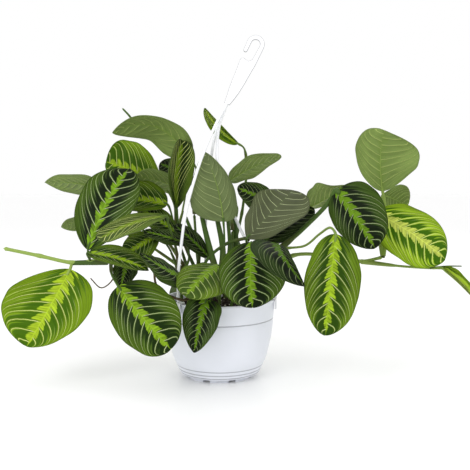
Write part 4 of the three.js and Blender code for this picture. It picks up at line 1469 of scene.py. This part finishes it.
def upper_colour(tree, leaves, own, marks, vein_colour, bone_colour):
    """The colour of a blade's upper side."""
    body = mix(tree, own.lime, leaves.dark, leaves.lime)
    body = mix(tree, rise(own.lime, 1.0, 1.25), body, leaves.gold)
    paler = rise(marks.out, 0.4, 0.95) * (own.lime * 0.5 + 0.15)
    body = mix(tree, paler, body, tuple(min(1, 1.4 * c) for c in leaves.lime))
    body = shade(tree, body, 0.95 + marks.cloud * 0.5 + marks.hairline * 0.07 + marks.streak * 2.4)
    patch_colour = mix(tree, own.lime, leaves.patch, leaves.patch_lime)
    body = mix(tree, marks.patch * own.patch, body, patch_colour)
    body = mix(tree, marks.halo, body, vein_colour)
    bone_shade = 0.92 + marks.hairline * 0.16 + marks.streak * 2.2 - marks.vein * 0.12
    upper = mix(tree, marks.bone * 0.97, body, shade(tree, bone_colour, bone_shade))
    upper = mix(tree, marks.minor * 0.3, upper, vein_colour)
    upper = mix(tree, marks.midline * 0.6, upper, shade(tree, bone_colour, 1.3))
    # Painted sheen: the grey value greys the blade, as glare of light on it would.
    sheened = shade(tree, leaves.grey, 1 + marks.cloud * 0.4 - marks.patch * 0.22)
    upper = mix(tree, own.grey * 0.85, upper, sheened)
    upper = mix(tree, marks.vein * (1 - marks.bone * 0.65) * 0.95, upper, vein_colour)
    # Painted shade and dark tone: lime below 0 darkens the whole blade, partly for the leaf's own dark
    # tone, partly as shade deep inside the plant.
    dark_tone_and_shade = 1 + own.lime.maths("MINIMUM", 0)
    return shade(tree, upper, (1 - rise(marks.out, 0.955, 1.0) * 0.4) * dark_tone_and_shade)


def under_colour(tree, leaves, own, marks, vein_colour, bone_colour):
    """The colour of a blade's underside, where the marks of the upper side show faintly."""
    under = mix(tree, own.lime, leaves.under, leaves.under_lime)
    under = mix(tree, rise(own.lime, 1.0, 1.15), under, leaves.gold)
    # Painted sheen on the underside, from the grey value.
    under = mix(tree, own.grey * 0.7, under, leaves.grey)
    through = marks.patch * own.patch * (own.stripe * 0.3 + 0.28)
    under = shade(tree, under, 1 + marks.cloud * 0.35 - through + marks.streak * 0.6)
    under = mix(tree, marks.bone * 0.15, under, shade(tree, bone_colour, 0.85))
    under = mix(tree, marks.vein * 0.75 + marks.minor * 0.2, under, shade(tree, vein_colour, 0.85))
    return shade(tree, under, 1 - rise(marks.out, 0.955, 1.0) * 0.3)


def leaf_pattern(leaves):
    """The prayer plant's pattern from a blade's own UV map: herringbone, side veins and dark patches."""
    tree, entry, leave = new_group(
        "Leaf pattern",
        {"Map": "vector", **{label.capitalize(): "number" for label in LEAF_VALUES}},
        {
            "Upper": "colour", "Under": "colour", "Roughness": "number", "Upper height": "number",
            "Under height": "number",
        },
    )
    own = SimpleNamespace(
        **{label: Field(tree, entry.outputs[label.capitalize()]) for label in LEAF_VALUES}
    )
    marks = blade_marks(tree, own, entry.outputs["Map"])
    vein_colour = mix(tree, own.lime + own.stripe * 0.6, leaves.vein, leaves.vein_lime)
    bone_colour = mix(tree, own.bone, leaves.bone_green, leaves.bone_lime)
    bone_colour = mix(tree, rise(own.bone, 1.0, 1.35), bone_colour, leaves.bone_pale)
    colours = (vein_colour, bone_colour)
    swell = 1 - marks.off * marks.off
    fine = marks.hairline * 0.05
    results = {
        "Upper": upper_colour(tree, leaves, own, marks, *colours),
        "Under": under_colour(tree, leaves, own, marks, *colours),
        "Roughness": 0.44 + marks.cloud * 0.16 - marks.patch * 0.05 + marks.vein * 0.08,
        "Upper height": 0.4 + swell * 0.3 - marks.vein * 0.25 - marks.midline * 0.1 + fine,
        "Under height": 0.4 - swell * 0.2 + marks.vein * 0.3 + marks.minor * 0.1 + fine * 1.4,
    }
    for label, value in results.items():
        feed(tree, leave.inputs[label], value)
    return tree


def leaf_material(name, group, side, gloss):
    """The skin of one side of the blades, coloured by the values painted on each leaf."""

    def look(tree):
        values = {label: attribute(tree, label) for label in LEAF_VALUES}
        outputs = place_group(tree, group, map=coordinates(tree, "UV"), **values).outputs
        height = outputs[side + " height"]
        return {"Colour": outputs[side], "Roughness": outputs["Roughness"], "Height": height}

    return new_material(name, look, {"Specular IOR Level": gloss}, 0.0009)


def stalk_material(settings):
    """The skin of stems and stalks: streaked green, rusty low down, brown where it is dry."""

    def look(tree):
        place = coordinates(tree, "UV")
        along = axes(tree, place)[1]
        streak = speckle(tree, stretch(tree, place, (9, 3, 1)), 2, 3)
        fine = speckle(tree, stretch(tree, place, (40, 6, 1)), 2, 2)
        blotch = speckle(tree, coordinates(tree, "Object"), 55, 3)
        rusty = attribute(tree, "rust")
        dry = (rusty - 1).maths("MAXIMUM", 0) * 1.6
        rust = rusty * (1 - rise(along, 0.2, 0.55)) * rise(blotch, 0.3, 0.6) + dry
        skin = mix(tree, attribute(tree, "lime"), settings.green, settings.lime)
        skin = shade(tree, skin, 0.7 + streak * 0.4 + fine * 0.2)
        brown = shade(tree, settings.rust, 0.6 + streak * 0.8)
        picture = mix(tree, rust.maths("MINIMUM", 1) * 0.9, skin, brown)
        return {"Colour": picture, "Roughness": 0.42 + fine * 0.2, "Height": streak * 0.6 + fine * 0.4}

    return new_material("Stalk skin", look, {"Specular IOR Level": 0.25}, 0.0003)


def build_shoot(leaves, stalks, name, shoot, number):
    """One leafy stem with its stalks, sheaths and blades as one piece."""
    skin = bpy.data.materials["Stalk skin"]
    green_parts = [stem(stalks, shoot)]
    blades = []
    for index, leaf in enumerate(shoot.leaves):
        start = shoot.stem[leaf.joint]
        pale = shoot.pale if LOOKS[leaf.look].lime > 0.3 else 0.0
        green_parts += [stalk(stalks, leaf, start, pale), underside_rib(leaf)]
        if leaf.via:
            green_parts.append(sheath(stalks, leaf, start, 1.9 * index + number))
        blades.append(blade(leaves, leaf, (number * 5 + index) * 0.31))
    green_parts += [twig(part) for part in shoot.twigs]
    for part in green_parts:
        part.data.materials.clear()
        part.data.materials.append(skin)
    piece = join(name.replace("shoot_", "") + "_shoot", blades + green_parts)
    smooth(piece, 50)
    finish_piece(piece, None, "leaf", name)


# Stage

LAMPS = {
    "main_lamp": {"place": (-1.0, -1.5, 1.3), "size": 0.6, "share": 1.0},
    "fill_lamp": {"place": (1.3, -1.2, 0.9), "size": 1.2, "share": 0.4},
    "low_lamp": {"place": (-1.4, -0.6, 0.2), "size": 0.9, "share": 0.5},
    "rim_lamp": {"place": (0.5, 1.5, 1.4), "size": 1.2, "share": 0.45},
}
LIT_PLACE = Vector((0.02, 0, 0.2))


def lay_floor(colour_of_floor):
    """A wide plain floor, faintly mottled."""
    deselect()
    bpy.ops.mesh.primitive_circle_add(vertices=128, radius=9, fill_type="NGON")
    floor = rename(bpy.context.object, "studio_floor")

    def look(tree):
        cloud = speckle(tree, coordinates(tree, "Object"), 0.8, 2)
        picture = shade(tree, colour_of_floor, 0.99 + cloud * 0.02)
        return {"Colour": picture, "Roughness": 0.3 + cloud * 0.05, "Height": cloud * 0.1}

    floor.data.materials.append(new_material("Studio floor", look, {"Specular IOR Level": 0.35}, 0.0001))


def set_lights(power):
    """White surroundings, and area lamps that look at the plant."""
    bpy.context.scene.view_settings.view_transform = "Standard"
    world = bpy.context.scene.world or bpy.data.worlds.new("Studio")
    bpy.context.scene.world = world
    world.use_nodes = True
    world.node_tree.nodes["Background"].inputs["Color"].default_value = (1, 1, 1, 1)
    world.node_tree.nodes["Background"].inputs["Strength"].default_value = 1.0
    for name, lamp in LAMPS.items():
        bpy.ops.object.light_add(type="AREA", location=lamp["place"])
        made = rename(bpy.context.object, name)
        made.data.energy = power * lamp["share"]
        made.data.size = lamp["size"]
        made.rotation_euler = (LIT_PLACE - Vector(lamp["place"])).to_track_quat("-Z", "Y").to_euler()


def build_stage(settings):
    """Lays the floor, and sets the lights and the camera."""
    lay_floor(settings.floor)
    set_lights(settings.light)
    dip = math.pi / 2 - settings.camera_dip
    bpy.ops.object.camera_add(location=settings.camera_place, rotation=(dip, 0, 0))
    camera = rename(bpy.context.object, "photo_camera")
    camera.data.sensor_width = 36
    camera.data.lens = settings.lens
    bpy.context.scene.camera = camera


# Operators and panel


class AddPot(bpy.types.Operator):
    """Add the moulded pot with its lip, steps and drain slots"""

    bl_idname = "prayer_plant.add_pot"
    bl_label = "Add Pot"

    def execute(self, context):
        build_pot(context.scene.prayer_pot)
        return {"FINISHED"}


class AddHanger(bpy.types.Operator):
    """Add the hook, the strands and the clips of the hanger"""

    bl_idname = "prayer_plant.add_hanger"
    bl_label = "Add Hanger"

    def execute(self, context):
        build_hanger(context.scene.prayer_hanger)
        return {"FINISHED"}


class AddSoil(bpy.types.Operator):
    """Add the soil with its crumbs and pale grains"""

    bl_idname = "prayer_plant.add_soil"
    bl_label = "Add Soil"

    def execute(self, context):
        build_soil(context.scene.prayer_soil, context.scene.prayer_pot)
        return {"FINISHED"}


class AddShoots(bpy.types.Operator):
    """Add every leafy stem with its stalks, sheaths and patterned blades"""

    bl_idname = "prayer_plant.add_shoots"
    bl_label = "Add Leafy Stems"

    def execute(self, context):
        leaves = context.scene.prayer_leaves
        stalks = context.scene.prayer_stalks
        group = leaf_pattern(leaves)
        leaf_material("Leaf upper side", group, "Upper", 0.07)
        leaf_material("Leaf underside", group, "Under", 0.12)
        stalk_material(stalks)
        for number, (name, shoot) in enumerate(SHOOTS.items()):
            build_shoot(leaves, stalks, name, shoot, number)
        return {"FINISHED"}


class AddStage(bpy.types.Operator):
    """Add the floor, the lights and the camera"""

    bl_idname = "prayer_plant.add_stage"
    bl_label = "Add Stage"

    def execute(self, context):
        build_stage(context.scene.prayer_stage)
        return {"FINISHED"}


class PrayerPlantPanel(bpy.types.Panel):
    """Lists the plant's operators and settings"""

    bl_idname = "VIEW3D_PT_prayer_plant"
    bl_label = "Prayer Plant"
    bl_space_type = "VIEW_3D"
    bl_region_type = "UI"
    bl_category = "Prayer Plant"

    def draw(self, context):
        for operator in OPERATORS:
            self.layout.operator(operator.bl_idname)
        for name, settings in SETTINGS.items():
            box = self.layout.box()
            for key in settings.__annotations__:
                box.prop(getattr(context.scene, name), key)


OPERATORS = (AddStage, AddPot, AddHanger, AddSoil, AddShoots)
SETTINGS = {
    "prayer_pot": PotSettings,
    "prayer_hanger": HangerSettings,
    "prayer_soil": SoilSettings,
    "prayer_leaves": LeafSettings,
    "prayer_stalks": StalkSettings,
    "prayer_stage": StageSettings,
}


def register():
    """Registers the classes and gives the scene its settings."""
    for made in (*SETTINGS.values(), *OPERATORS, PrayerPlantPanel):
        bpy.utils.register_class(made)
    for name, settings in SETTINGS.items():
        setattr(bpy.types.Scene, name, PointerProperty(type=settings))


def unregister():
    """Takes back what register does."""
    for name in SETTINGS:
        delattr(bpy.types.Scene, name)
    for made in (PrayerPlantPanel, *reversed(OPERATORS), *reversed(SETTINGS.values())):
        bpy.utils.unregister_class(made)


def main():
    """Builds the stage and every piece."""
    register()
    bpy.ops.prayer_plant.add_stage()
    bpy.ops.prayer_plant.add_pot()
    bpy.ops.prayer_plant.add_hanger()
    bpy.ops.prayer_plant.add_soil()
    bpy.ops.prayer_plant.add_shoots()


if __name__ == "__main__":
    main()
